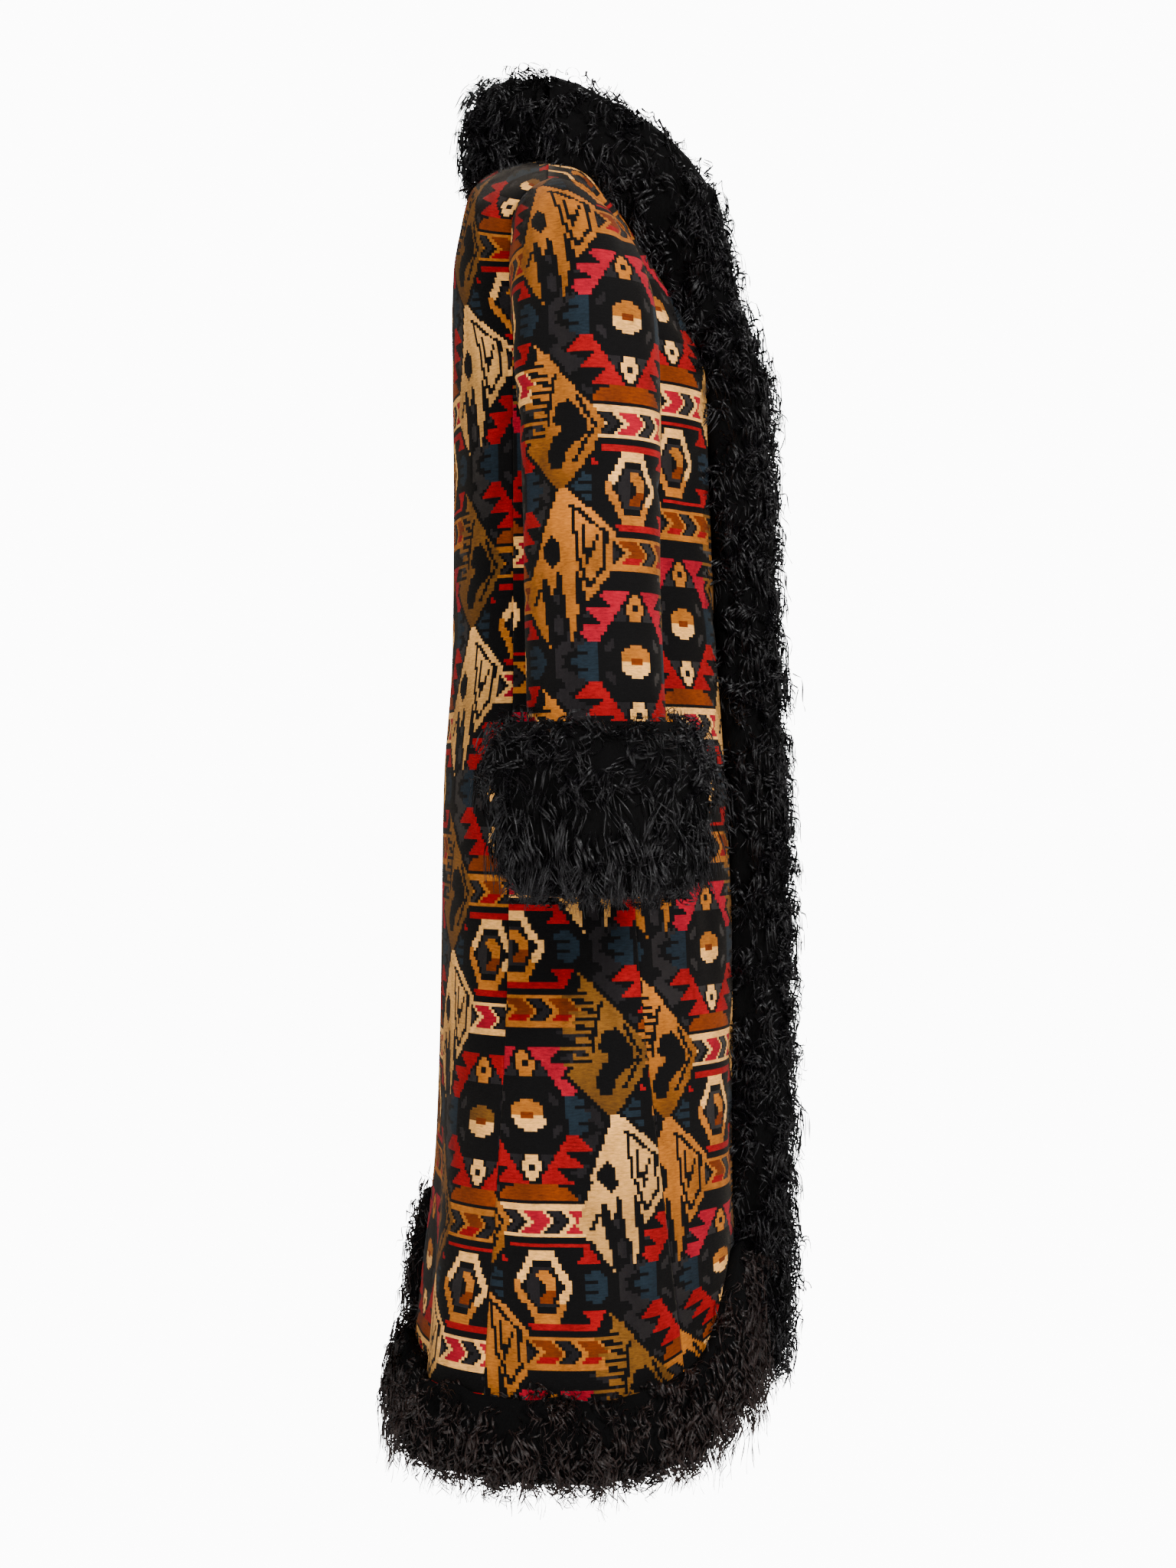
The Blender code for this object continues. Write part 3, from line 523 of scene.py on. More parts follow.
    def yoke_y(self, x: Array, z: Array, facing: int) -> Array:
        """How far the yoke stands from Y = 0 above the armpit.

        Args:
            x: distances from the middle.
            z: heights.
            facing: -1 for the front and 1 for the back.

        Returns:
            The Y of its outer face: full below, nothing on the shoulder ridge.
        """
        x = np.abs(x)
        ridge = self.ridge(x)
        lift = np.clip((z - ARMPIT_Z) / (ridge - ARMPIT_Z), 0, 1)
        level = z + (BODY[0].z - ridge) * lift
        corner = self.corner(level)
        share = np.maximum(1 - (x / self.half_width(level)) ** corner, 1e-6)
        return facing * self.depth[facing](level) * share ** (1 / corner)

    def arm(self, turn: Array, z: Array) -> Array:
        """The right sleeve below the armpit.

        Args:
            turn: share of the way round from the outermost line, positive to the back.
            z: levels.

        Returns:
            Points of an ellipse at each level.
        """
        angle = 2 * math.pi * turn
        x = self.arm_x(z) - self.arm_half_x(z) * np.cos(angle)
        y = self.arm_y(z) + self.arm_half_y(z) * np.sin(angle)
        return np.stack([x, y, np.broadcast_to(z, x.shape)], axis=-1)


FORM = CoatForm()


@dataclass(frozen=True)
class Yarn:
    """One colour of the weave, and how high its pile stands (0 is the flat ground)."""

    red: float
    green: float
    blue: float
    pile: float = 1.0

    def linear(self) -> list[float]:
        """The colour as light.

        Returns:
            Red, green and blue in linear light, with the pile height after them.
        """
        display = np.array([self.red, self.green, self.blue])
        light = np.where(display <= 0.04045, display / 12.92, ((display + 0.055) / 1.055) ** 2.4)
        return [*light, self.pile]


class Tone(Enum):
    """The yarns by their number in the palette."""

    BLACK = 0
    GROUND = 1
    GOLD = 2
    CREAM = 3
    OLIVE = 4
    BROWN = 5
    RED = 6
    ROSE = 7
    SLATE = 8


PALETTE = {
    Tone.BLACK: Yarn(0.018, 0.015, 0.017),
    Tone.GROUND: Yarn(0.128, 0.114, 0.122, pile=0.0),
    Tone.GOLD: Yarn(0.680, 0.390, 0.105),
    Tone.CREAM: Yarn(0.960, 0.690, 0.360),
    Tone.OLIVE: Yarn(0.440, 0.275, 0.085),
    Tone.BROWN: Yarn(0.440, 0.170, 0.000),
    Tone.RED: Yarn(0.560, 0.000, 0.040),
    Tone.ROSE: Yarn(0.600, 0.022, 0.125),
    Tone.SLATE: Yarn(0.086, 0.128, 0.160),
}


class Patch(NamedTuple):
    """A flat patch of the pattern: its yarn, and its corners in millimetres."""

    tone: Tone
    corners: tuple[tuple[float, float], ...]


# Each quarter of a medallion, from its middle outward and away
MEDALLION = (
    Patch(Tone.GROUND, ((12, 50), (22, 36), (9, 36))),
    Patch(Tone.GROUND, ((21, 24), (32, 9), (20, 11))),
    Patch(Tone.RED, ((4, 64), (37, 64), (24, 49), (14, 49))),
    Patch(Tone.RED, ((15, 49), (49, 49), (34, 34), (24, 34))),
    Patch(Tone.RED, ((25, 34), (59, 34), (43, 19), (34, 19))),
    Patch(Tone.SLATE, ((35, 0), (61, 0), (61, 3), (46, 6), (46, 8), (58, 12), (47, 17), (36, 17))),
)
MEDALLION_FOOT = ((-1, 63), (19, 63), (22, 67), (30, 67), (39, 77), (-1, 77))
TOOTH_PITCH = 26
TOOTH_SKEW = 9.0
EYE_HALF_WIDTH = 16.5
EYE_HALF_HEIGHT = 14.5
EYE_POWER = 2.2
DIAMOND_AWAY = 47
# Each quarter of a hexagon's border
HEXAGON = (
    Patch(Tone.RED, ((-1, 34.5), (47, 34.5), (44, 39), (-1, 39))),
    Patch(Tone.RED, ((38, 35), (47, 35), (57, 20), (28, 20), (40, 28))),
    Patch(Tone.SLATE, ((40, -1), (62, -1), (60, 9), (53, 16), (45, 16), (44, 11), (38, 11))),
    Patch(Tone.BLACK, ((36, 3.5), (50, 3.5), (50, 7.5), (36, 7.5))),
)
HEXAGON_HEART = ((-5, -15), (7, -15), (13, -4), (13, 4), (6, 15), (-7, 13), (2, 4), (3, -3))
# From a waist: x to the right, y up (the comb) or down (the tines)
COMB_BODY = (
    (-3, 0), (-42, 36), (-34, 46), (-17, 50), (-15, 76), (-8, 92), (-24, 132), (-3, 112),
    (18, 86), (40, 61), (28, 33), (3, 0),
)
COMB_HOLE = (
    (-12, 17), (1, 20), (3, 31), (12, 40), (22, 46), (25, 60), (9, 80), (-5, 76), (-9, 60), (4, 54),
    (-8, 47), (-16, 32),
)
COMB_GROOVES = (((-14, 58), (-11, 82), (-5, 104)), ((12, 25), (31, 56), (16, 82)))
TINES = (
    (-3, 0), (3, 0), (47, 38), (45, 74), (23, 103), (14, 74), (11, 76), (14, 112), (8, 142),
    (-1, 80), (-5, 76), (-9, 98), (-17, 80), (-22, 84), (-18, 112), (-13, 144), (-44, 100),
    (-34, 76),
)
TINE_HOLE = ((-11, 43), (-2, 51), (-2, 63), (-10, 71), (-20, 64), (-20, 51))
TINE_LINES = (
    ((9, 15), (39, 41), (38, 70), (24, 90), (15, 66), (9, 15)),
    ((19, 36), (22, 66), (32, 44)),
    ((-24, 92), (-30, 104)),
)
# How far a figure's black outline reaches, and half the width of its inner lines
OUTLINE_SHIFTS = ((-6, 0), (6, 0), (0, -5), (0, 5))
LINE_REACH = 1.8
# The comb's prongs, and the chevron bars
PRONG_STEP = 8.0
BAR_AWAY = 59.5
BAR_BODY = 11.0
ARROW_PITCH = 41


def within(x: Array, y: Array, corners: Sequence[tuple[float, float]]) -> Mask:
    """Which places lie inside a closed outline.

    Args:
        x: places across.
        y: places up.
        corners: the outline's corners in order.

    Returns:
        True where a level line from the place crosses the outline an odd number of times.
    """
    inside = np.zeros(x.shape, bool)
    for (x0, y0), (x1, y1) in zip(corners, corners[1:] + corners[:1]):
        if y0 == y1:
            continue
        spans = (y0 > y) != (y1 > y)
        inside ^= spans & (x < x0 + (x1 - x0) * (y - y0) / (y1 - y0))
    return inside


def beside(x: Array, y: Array, line: Sequence[tuple[float, float]], reach: float) -> Mask:
    """Which places lie close to a line.

    Args:
        x: places across.
        y: places up.
        line: its points in order.
        reach: how close.

    Returns:
        True where the nearest stretch is closer than reach.
    """
    close = np.zeros(x.shape, bool)
    for (x0, y0), (x1, y1) in zip(line[:-1], line[1:]):
        dx, dy = x1 - x0, y1 - y0
        t = np.clip(((x - x0) * dx + (y - y0) * dy) / (dx * dx + dy * dy), 0, 1)
        close |= np.hypot(x - x0 - t * dx, y - y0 - t * dy) < reach
    return close


@dataclass
class Cells:
    """Cells of the cloth as one motif sees them, and what is painted on them so far."""

    tone: Array
    light: Array
    x: Array
    y: Array
    odd: Mask

    def put(self, mark: Mask, tone: Tone) -> None:
        """Paints cells in one yarn.

        Args:
            mark: which cells.
            tone: the yarn.
        """
        self.tone[mark] = tone.value

    def pick(self, mark: Mask, which: Mask, one: Tone, other: Tone) -> None:
        """Paints cells in one of two yarns.

        Args:
            mark: which cells.
            which: where the first yarn is taken.
            one: the first yarn.
            other: the second yarn.
        """
        self.tone[mark] = np.where(which, one.value, other.value)[mark]


@dataclass
class Weave:
    """A flat-weave type of pattern in half-drop columns, drafted in millimetres.

    Each column carries hexagons and, halfway between them, toothed medallions with an eye;
    chevron bars part them. At the left tip of each hexagon two figures meet in a waist: one
    with a comb rises from it, one with tines hangs from it. All lie over a flat ground with
    black teeth.
    """

    pitch: float = COLUMN_PITCH
    repeat: float = REPEAT
    waist: float = 0.066
    reach: float = 0.112

    def paint(self, u: Array, v: Array) -> tuple[Array, Array]:
        """Colours of cells.

        Args:
            u: across the cloth.
            v: up the cloth.

        Returns:
            Yarn numbers, and how light each cell is within its own colour (about 1).
        """
        number = np.floor(u / self.pitch + 0.5)
        cells = Cells(
            np.full(u.shape, Tone.BLACK.value), np.ones(u.shape),
            (u - number * self.pitch) * 1000, self._height(v, number), number % 2 > 0.5,
        )
        self._medallion(cells)
        self._hexagon(cells)
        right = np.floor((u + self.reach) / self.pitch)
        x, y = (u - right * self.pitch + self.waist) * 1000, self._height(v, right)
        comb = Cells(cells.tone, cells.light, x, y, right % 2 > 0.5)
        tines = Cells(cells.tone, cells.light, x, -y, comb.odd)
        for figure, outline in ((comb, COMB_BODY), (tines, TINES)):
            for dx, dy in OUTLINE_SHIFTS:
                figure.put(within(figure.x + dx, figure.y + dy, outline), Tone.BLACK)
        self._bars(cells)
        self._comb(comb)
        self._tines(tines)
        return cells.tone, cells.light

    def _height(self, v: Array, number: Array) -> Array:
        """Height above the nearest hexagon's middle of a column.

        Args:
            v: up the cloth.
            number: the column.

        Returns:
            Heights from minus half a repeat to half a repeat, in millimetres.
        """
        rise = v - np.where(number % 2 > 0.5, self.repeat / 2, 0.0)
        return (rise - np.floor(rise / self.repeat + 0.5) * self.repeat) * 1000

    def _medallion(self, cells: Cells) -> None:
        """Draws the toothed ground and the medallion halfway between two hexagons.

        Args:
            cells: the cells, measured from the hexagon's middle.
        """
        x, odd, upper = cells.x, cells.odd, cells.y < 0
        ax, away = np.abs(x), self.repeat * 500 - np.abs(cells.y)
        tooth = (away + np.where(x > 0, 0.0, TOOTH_SKEW)) / TOOTH_PITCH
        ground = (away < 79) & (ax > 47 - 0.20 * away + 23 * saw(tooth))
        cells.put(ground & (ax < 82 - 17 * saw(tooth + 0.36)), Tone.GROUND)
        for patch in MEDALLION:
            mark = within(ax, away, patch.corners)
            cells.put(mark, patch.tone)
            if patch.tone is Tone.RED:
                cells.put(mark & upper & ~odd, Tone.ROSE)
        foot = ~upper & within(ax, away, MEDALLION_FOOT)
        cells.put(foot, Tone.BROWN)
        cells.light[foot] *= 0.80 + 0.55 * saw(x[foot] / 60 + 0.2)
        eye = (ax / EYE_HALF_WIDTH) ** EYE_POWER + (away / EYE_HALF_HEIGHT) ** EYE_POWER < 1
        cells.put(eye, Tone.CREAM)
        cells.pick(eye & upper, odd, Tone.OLIVE, Tone.GOLD)
        cells.light[eye & upper] *= 0.86
        cells.put(eye & (away < 1.8) & (ax < 7), Tone.BROWN)
        rise = np.abs(away - DIAMOND_AWAY)
        diamond = np.maximum(ax + 0.50 * rise, 0.80 * rise + 0.6)
        cells.put(diamond < 13.5, Tone.BLACK)
        cells.pick(diamond < 10.0, upper, Tone.GOLD, Tone.CREAM)
        cells.put((ax < 2.0) & (rise < 3.2), Tone.BLACK)

    def _hexagon(self, cells: Cells) -> None:
        """Draws a hexagon with its red lines, wings, corner teeth and inner ring.

        Args:
            cells: the cells, measured from its middle.
        """
        x, y = cells.x, cells.y
        ax, ay = np.abs(x), np.abs(y)
        cells.put((ay < 44) & (ax < 67 - 0.54 * ay), Tone.BLACK)
        for patch in HEXAGON:
            cells.put(within(ax, ay, patch.corners), patch.tone)
        ring = np.maximum(ax + 0.55 * ay, ay * 0.90)
        cells.pick((ring < 28.5) & (ring > 20.5), y + 0.5 * x > -6, Tone.CREAM, Tone.GOLD)
        cells.put((ring < 17.0) & ((x < -3) | (ay > 16)), Tone.GROUND)
        cells.pick(within(x, y, HEXAGON_HEART) & (ring < 19), y > -2, Tone.GOLD, Tone.BROWN)

    def _bars(self, cells: Cells) -> None:
        """Draws the chevron bars above and below the hexagon.

        Args:
            cells: the cells, measured from the hexagon's middle.
        """
        x, y = cells.x, cells.y
        middle = np.abs(np.abs(y) - BAR_AWAY)
        inside = np.abs(x) < 56 - 0.4 * middle
        cells.put((middle < 19.5) & inside, Tone.BLACK)
        bar = (middle < 15.2) & inside
        upper = y > 0
        pale = upper ^ cells.odd
        cells.pick(bar, pale, Tone.CREAM, Tone.GOLD)
        cells.light[bar & ~pale] *= 0.84
        body = bar & (middle < BAR_BODY)
        phase = np.mod((x - 1.05 * (BAR_BODY - middle)) / ARROW_PITCH + 0.36, 1.0)
        arrow = body & (phase < 0.40)
        cells.pick(arrow, pale, Tone.ROSE, Tone.BROWN)
        tip = arrow & (y < np.where(upper, 57, -57)) & ~pale
        cells.put(tip & (middle > 2), Tone.RED)
        cells.put(body & (phase > 0.50) & (phase < 0.86), Tone.BLACK)
        cells.put(body & (phase > 0.58) & (phase < 0.76), Tone.GROUND)

    def _comb(self, cells: Cells) -> None:
        """Draws the figure that rises from the waist, with a comb on its left side.

        Args:
            cells: the cells, measured right of and up from the waist.
        """
        x, y, odd = cells.x, cells.y, cells.odd
        row = np.floor(y / PRONG_STEP)
        slant = y - row * PRONG_STEP + 0.10 * x
        far = np.where(row % 2 > 0.5, -47.0, -36.0) + 0.16 * (y - 48) + 3.0 * np.sin(row * 2.4)
        prong = (slant > 0.4) & (slant < 4.6) & (y > 46) & (y < 122) & (x > far) & (x < -8)
        hole = within(x, y, COMB_HOLE)
        mark = (within(x, y, COMB_BODY) | prong) & ~hole
        cells.put(hole, Tone.BLACK)
        for line in COMB_GROOVES:
            groove = beside(x, y, line, LINE_REACH)
            cells.put(groove & mark, Tone.BLACK)
            mark &= ~groove
        cells.pick(mark, odd, Tone.OLIVE, Tone.GOLD)
        cells.light[mark] *= (np.where(odd, 0.62, 0.34) + 0.0062 * y).clip(0.34, 1.10)[mark]

    def _tines(self, cells: Cells) -> None:
        """Draws the figure that hangs from the waist: a pierced leaf that ends in tines.

        Args:
            cells: the cells, measured right of and down from the waist.
        """
        x, down, odd = cells.x, cells.y, cells.odd
        body = within(x, down, TINES)
        hole = within(x, down, TINE_HOLE)
        for line in TINE_LINES:
            hole |= beside(x, down, line, LINE_REACH)
        cells.put(hole & body, Tone.BLACK)
        mark = body & ~hole
        cells.pick(mark, odd, Tone.CREAM, Tone.GOLD)
        cells.light[mark] *= (np.where(odd, 1.02, 1.22) - 0.0048 * down).clip(0.62, 1.22)[mark]


WEAVE = Weave()


def operator(operation: str, turned: bool = False) -> Callable[[Sum, object], Sum]:
    """One operator of Sum, which adds one Math node.

    Args:
        operation: the node's operation.
        turned: put the other value first.

    Returns:
        The method.
    """

    def apply(one: Sum, other: object) -> Sum:
        """Adds the node.

        Args:
            one: the Sum.
            other: a Sum, a socket or a number.

        Returns:
            The node's output.
        """
        return one.math(operation, *((other, one) if turned else (one, other)))

    return apply


class Sum:
    """A node socket that takes part in arithmetic."""

    __add__ = operator("ADD")
    __radd__ = operator("ADD", turned=True)
    __sub__ = operator("SUBTRACT")
    __rsub__ = operator("SUBTRACT", turned=True)
    __mul__ = operator("MULTIPLY")

    def __init__(self, tree: Tree, socket: bpy.types.NodeSocket) -> None:
        """Wraps a socket.

        Args:
            tree: the node tree being built.
            socket: the output to wrap.
        """
        self.tree = tree
        self.socket = socket

    def math(self, operation: str, *values: object) -> Sum:
        """Adds one Math node.

        Args:
            operation: its operation.
            values: its inputs in order.

        Returns:
            Its output.
        """
        return self.tree.add("ShaderNodeMath", {"operation": operation}, dict(enumerate(values)))

    def sine(self) -> Sum:
        """Adds a sine.

        Returns:
            The sine of self, in radians.
        """
        return self.math("SINE", self)

    def clamped(self) -> Sum:
        """Adds a clamp.

        Returns:
            self held between 0 and 1.
        """
        return self.tree.add("ShaderNodeClamp", {}, {0: self, 1: 0.0, 2: 1.0})


class Tree:
    """A material's node tree, with one method that adds any node."""

    def __init__(self, name: str) -> None:
        """Starts a material with a Principled shader.

        Args:
            name: the material's name.
        """
        self.material = bpy.data.materials.new(name)
        self.material.use_nodes = True
        self.nodes = self.material.node_tree.nodes
        self.links = self.material.node_tree.links
        self.shader = self.nodes["Principled BSDF"]

    def add(
        self,
        kind: str,
        settings: dict[str, object],
        values: dict[Union[int, str], object],
        output: Union[int, str] = 0,
    ) -> Sum:
        """Adds a node.

        Args:
            kind: the node's type.
            settings: its properties.
            values: its inputs, each a number, a colour, a socket or a Sum.
            output: which output to hand back.

        Returns:
            That output.
        """
        node = self.nodes.new(kind)
        for key, setting in settings.items():
            setattr(node, key, setting)
        for key, value in values.items():
            self.feed(node.inputs[key], value)
        return Sum(self, node.outputs[output])

    def feed(self, target: bpy.types.NodeSocket, value: object) -> None:
        """Sets an input or links it.

        Args:
            target: the input.
            value: a number, a colour, a socket or a Sum.
        """
        value = value.socket if isinstance(value, Sum) else value
        if isinstance(value, bpy.types.NodeSocket):
            self.links.new(value, target)
        else:
            target.default_value = value

    def set(self, values: dict[str, object]) -> None:
        """Sets or links inputs of the Principled shader.

        Args:
            values: by input name.
        """
        for key, value in values.items():
            self.feed(self.shader.inputs[key], value)

    def attribute(self, name: str, output: str = "Fac") -> Sum:
        """A mesh attribute.

        Args:
            name: its name on the mesh.
            output: Color, Vector, Fac or Alpha.

        Returns:
            Its values.
        """
        return self.add("ShaderNodeAttribute", {"attribute_name": name}, {}, output)

    def noise(self, vector: object, scale: float, detail: float = 2.0, rough: float = 0.5) -> Sum:
        """A noise from 0 to 1.

        Args:
            vector: where it is read.
            scale: its scale.
            detail: its octaves.
            rough: how strong the finer octaves are.

        Returns:
            Its value.
        """
        values = {"Vector": vector, "Scale": scale, "Detail": detail, "Roughness": rough}
        return self.add("ShaderNodeTexNoise", {}, values, "Fac")

    def stretched(self, vector: object, scale: tuple[float, float, float]) -> Sum:
        """A vector multiplied by a scale.

        Args:
            vector: the vector.
            scale: the three factors.

        Returns:
            The product.
        """
        return self.add("ShaderNodeVectorMath", {"operation": "MULTIPLY"}, {0: vector, 1: scale})

    def mixed(self, kind: str, amount: object, one: object, other: object) -> Sum:
        """Two colours mixed.

        Args:
            kind: the way of mixing.
            amount: how much of the second.
            one: the first colour.
            other: the second colour.

        Returns:
            The colour.
        """
        settings = {"data_type": "RGBA", "blend_type": kind}
        return self.add("ShaderNodeMix", settings, {0: amount, 6: one, 7: other}, 2)

    def bump(self, height: object, strength: float, distance: float) -> Sum:
        """A bumped normal.

        Args:
            height: the height field, 0 to 1.
            strength: how much of it is used.
            distance: the depth of a full step, in metres.

        Returns:
            The normal.
        """
        values = {"Strength": strength, "Distance": distance, "Height": height}
        return self.add("ShaderNodeBump", {}, values)


@dataclass(frozen=True)
class VelvetFinish:
    """Cut pile in many colours over a flat ribbed ground, with the sheen along its nap painted into
    its colour.
    """

    name: str = "woven_velvet"
    rib_pitch: float = 0.00085
    sheen: float = 0.075

    def build(self) -> bpy.types.Material:
        """Makes the material.

        Returns:
            The material.
        """
        tree = Tree(self.name)
        place = tree.add("ShaderNodeUVMap", {"uv_map": "cloth"}, {}, "UV")
        across = tree.add("ShaderNodeSeparateXYZ", {}, {0: place})
        tint = tree.attribute("tint", "Color")
        pile = tree.attribute("pile")
        nap_sheen_patches = tree.noise(tree.stretched(place, (34.0, 17.0, 1.0)), 1.0, 3.0, 0.6)
        nap_sheen_streaks = tree.noise(tree.stretched(place, (150.0, 620.0, 1.0)), 1.0, 3.0, 0.65)
        tufts = tree.noise(tree.stretched(place, (1500.0, 1500.0, 1.0)), 1.0, 2.0, 0.7)
        ribs = (across * (2 * math.pi / self.rib_pitch)).sine() * 0.5 + 0.5
        # Painted sheen: the brushed nap's lighter and darker patches and streaks go into the base
        # colour, along with the pile's own fine tufts.
        shade = 0.24 + nap_sheen_patches * 1.14 + (nap_sheen_streaks - 0.5) * 1.35 * (pile * 0.8 + 0.2)
        shade = shade + (tufts - 0.5) * 0.55
        # Painted shade: the flat ground is darker in the troughs between its ribs.
        shade = shade * (1.0 - (1.0 - pile) * (1.0 - ribs) * 0.38)
        grey = tree.add("ShaderNodeCombineColor", {}, {0: shade, 1: shade, 2: shade})
        tree.set({"Base Color": tree.mixed("MULTIPLY", 1.0, tint, grey)})
        height = tufts * 0.35 + nap_sheen_streaks * 0.4 + (1.0 - pile) * ribs * 0.5
        tree.set({
            "Roughness": 0.82 + (nap_sheen_patches - 0.5) * 0.2,
            "Normal": tree.bump(height, 0.75, 0.0012),
            "Sheen Weight": self.sheen,
            "Sheen Roughness": 0.42,
            "Sheen Tint": (1.0, 0.86, 0.70, 1.0),
            "Specular IOR Level": 0.08,
        })
        return tree.material


@dataclass(frozen=True)
class FurFinish:
    """Glossy curled hair in clumps: dark at the root, with a few paler strands."""

    name: str
    root: tuple[float, float, float]
    tip: tuple[float, float, float]
    roughness: float = 0.36
    gloss: float = 0.27

    def build(self) -> bpy.types.Material:
        """Makes the material.

        Returns:
            The material.
        """
        tree = Tree(self.name)
        place = tree.add("ShaderNodeUVMap", {"uv_map": "strand"}, {}, "UV")
        along = tree.add("ShaderNodeSeparateXYZ", {}, {0: place}, 1)
        own = tree.attribute("own")
        hairs = tree.noise(tree.stretched(place, (4200.0, 60.0, 1.0)), 1.0, 2.0, 0.6)
        length = (along * 12.0).clamped()
        mix = (length * 0.55 + own * 0.55 + (hairs - 0.5) * 0.5).clamped()
        colour = tree.mixed("MIX", mix, (*self.root, 1.0), (*self.tip, 1.0))
        tree.set({
            "Base Color": colour,
            "Roughness": self.roughness + (hairs - 0.5) * 0.3,
            "Normal": tree.bump(hairs, 0.7, 0.0005),
            "Specular IOR Level": self.gloss,
        })
        return tree.material


FURS = (
    FurFinish("underfur", (0.0008, 0.0007, 0.0007), (0.0018, 0.0015, 0.0015), 0.9, 0.08),
    FurFinish("black_curls", (0.0012, 0.0011, 0.0012), (0.0066, 0.0056, 0.0062)),
    FurFinish("brown_black_locks", (0.0026, 0.0014, 0.0011), (0.0200, 0.0098, 0.0074)),
)


@dataclass(frozen=True)
class StudioFinish:
    """The pale studio floor and backdrop."""

    name: str = "studio"
    shade: float = 0.92
    glow: float = 0.85
    brightness: float = 14.0

    def build(self) -> bpy.types.Material:
        """Makes the material.

        Returns:
            The material.
        """
        tree = Tree(self.name)
        cloud = tree.noise(tree.add("ShaderNodeTexCoord", {}, {}, "Object"), 1.3, 2.0)
        tone = self.shade + (cloud - 0.5) * 0.01
        grey = tree.add("ShaderNodeCombineColor", {}, {0: tone, 1: tone, 2: tone})
        tree.set({"Base Color": grey, "Roughness": 0.9})
        seen = tree.add("ShaderNodeLightPath", {}, {}, "Is Camera Ray") * self.glow
        lit = tree.add("ShaderNodeEmission", {}, {"Strength": self.brightness})
        both = tree.add("ShaderNodeMixShader", {}, {0: seen, 1: tree.shader.outputs[0], 2: lit})
        tree.feed(tree.nodes["Material Output"].inputs[0], both)
        return tree.material


def add_mesh(
    name: str,
    points: Array,
    quads: Indices,
    triangles: Optional[Indices],
    material: bpy.types.Material,
) -> bpy.types.Object:
    """One smooth-shaded object from whole arrays.

    Args:
        name: the piece's name.
        points: its vertices.
        quads: four vertex numbers a row.
        triangles: three vertex numbers a row, after the quads.
        material: its material.

    Returns:
        The object, linked to the scene.
    """
    triangles = np.zeros((0, 3), int) if triangles is None else triangles
    mesh = bpy.data.meshes.new(name)
    corners = np.concatenate([quads.reshape(-1), triangles.reshape(-1)]).astype(np.int32)
    starts = np.concatenate([
        np.arange(len(quads)) * 4,
        len(quads) * 4 + np.arange(len(triangles)) * 3,
    ]).astype(np.int32)
    mesh.vertices.add(len(points))
    mesh.vertices.foreach_set("co", points.astype(np.float32).reshape(-1))
    mesh.loops.add(len(corners))
    mesh.loops.foreach_set("vertex_index", corners)
    mesh.polygons.add(len(starts))
    mesh.polygons.foreach_set("loop_start", starts)
    mesh.polygons.foreach_set("use_smooth", np.ones(len(starts), bool))
    mesh.materials.append(material)
    mesh.update(calc_edges=True)
    mesh.validate()
    obj = bpy.data.objects.new(name, mesh)
    bpy.context.scene.collection.objects.link(obj)
    return obj


def face_sums(points: Array, faces: Indices, total: Array) -> None:
    """Adds each face's normal, as long as its area, to its corners.

    Args:
        points: the vertices.
        faces: vertex numbers, three or four a row.
        total: one vector for each vertex, changed in place.
    """
    first = points[faces[:, 2]] - points[faces[:, 0]]
    last = faces.shape[1] - 1
    second = points[faces[:, last]] - points[faces[:, 1]]
    normal = np.cross(first, second)
    for k in range(faces.shape[1]):
        np.add.at(total, faces[:, k], normal)


def zipped(one: Indices, at_one: Array, other: Indices, at_other: Array) -> Indices:
    """Triangles that join two rows of vertices that run side by side.

    Args:
        one: vertex numbers of the first row.
        at_one: how far along each stands, 0 to 1.
        other: vertex numbers of the second row.
        at_other: how far along each stands, 0 to 1.

    Returns:
        Triangles, each with one edge on one of the rows.
    """
    when = np.concatenate([at_one[1:], at_other[1:] + 1e-9])
    first = np.concatenate([np.ones(len(one) - 1, bool), np.zeros(len(other) - 1, bool)])
    order = np.argsort(when, kind="stable")
    first = first[order]
    i = np.cumsum(first) - first
    j = np.cumsum(~first) - ~first
    i_next = np.minimum(i + 1, len(one) - 1)
    j_next = np.minimum(j + 1, len(other) - 1)
    step = np.where(first, one[i_next], other[j_next])
    return np.stack([one[i], step, other[j]], axis=1)


def averaged(count: int, faces: Sequence[Indices], values: Array) -> Array:
    """Values of faces averaged at their corners.

    Args:
        count: how many vertices there are.
        faces: groups of faces, as vertex numbers.
        values: one for each face, group after group.

    Returns:
        One value for each vertex.
    """
    total, weight = np.zeros(count), np.zeros(count)
    for group, own in zip(faces, np.split(values, np.cumsum([len(f) for f in faces])[:-1])):
        for k in range(group.shape[1]):
            np.add.at(total, group[:, k], own)
            np.add.at(weight, group[:, k], 1.0)
    return total / np.maximum(weight, 1)


def lay_out(obj: bpy.types.Object, name: str, place: Array) -> None:
    """Writes texture coordinates, in metres.

    Args:
        obj: the object.
        name: the name of their layer.
        place: one place for each vertex.
    """
    corner = np.zeros(len(obj.data.loops), np.int32)
    obj.data.loops.foreach_get("vertex_index", corner)
    layer = obj.data.uv_layers.new(name=name)
    layer.data.foreach_set("uv", place[corner].astype(np.float32).reshape(-1))


def run_along(points: Array) -> Array:
    """Distances along lines of points.

    Args:
        points: points in order, one line or rows of them.

    Returns:
        How far along its line each point stands, from 0.
    """
    step = np.linalg.norm(np.diff(points, axis=-2), axis=-1)
    return np.concatenate([np.zeros((*step.shape[:-1], 1)), np.cumsum(step, axis=-1)], axis=-1)


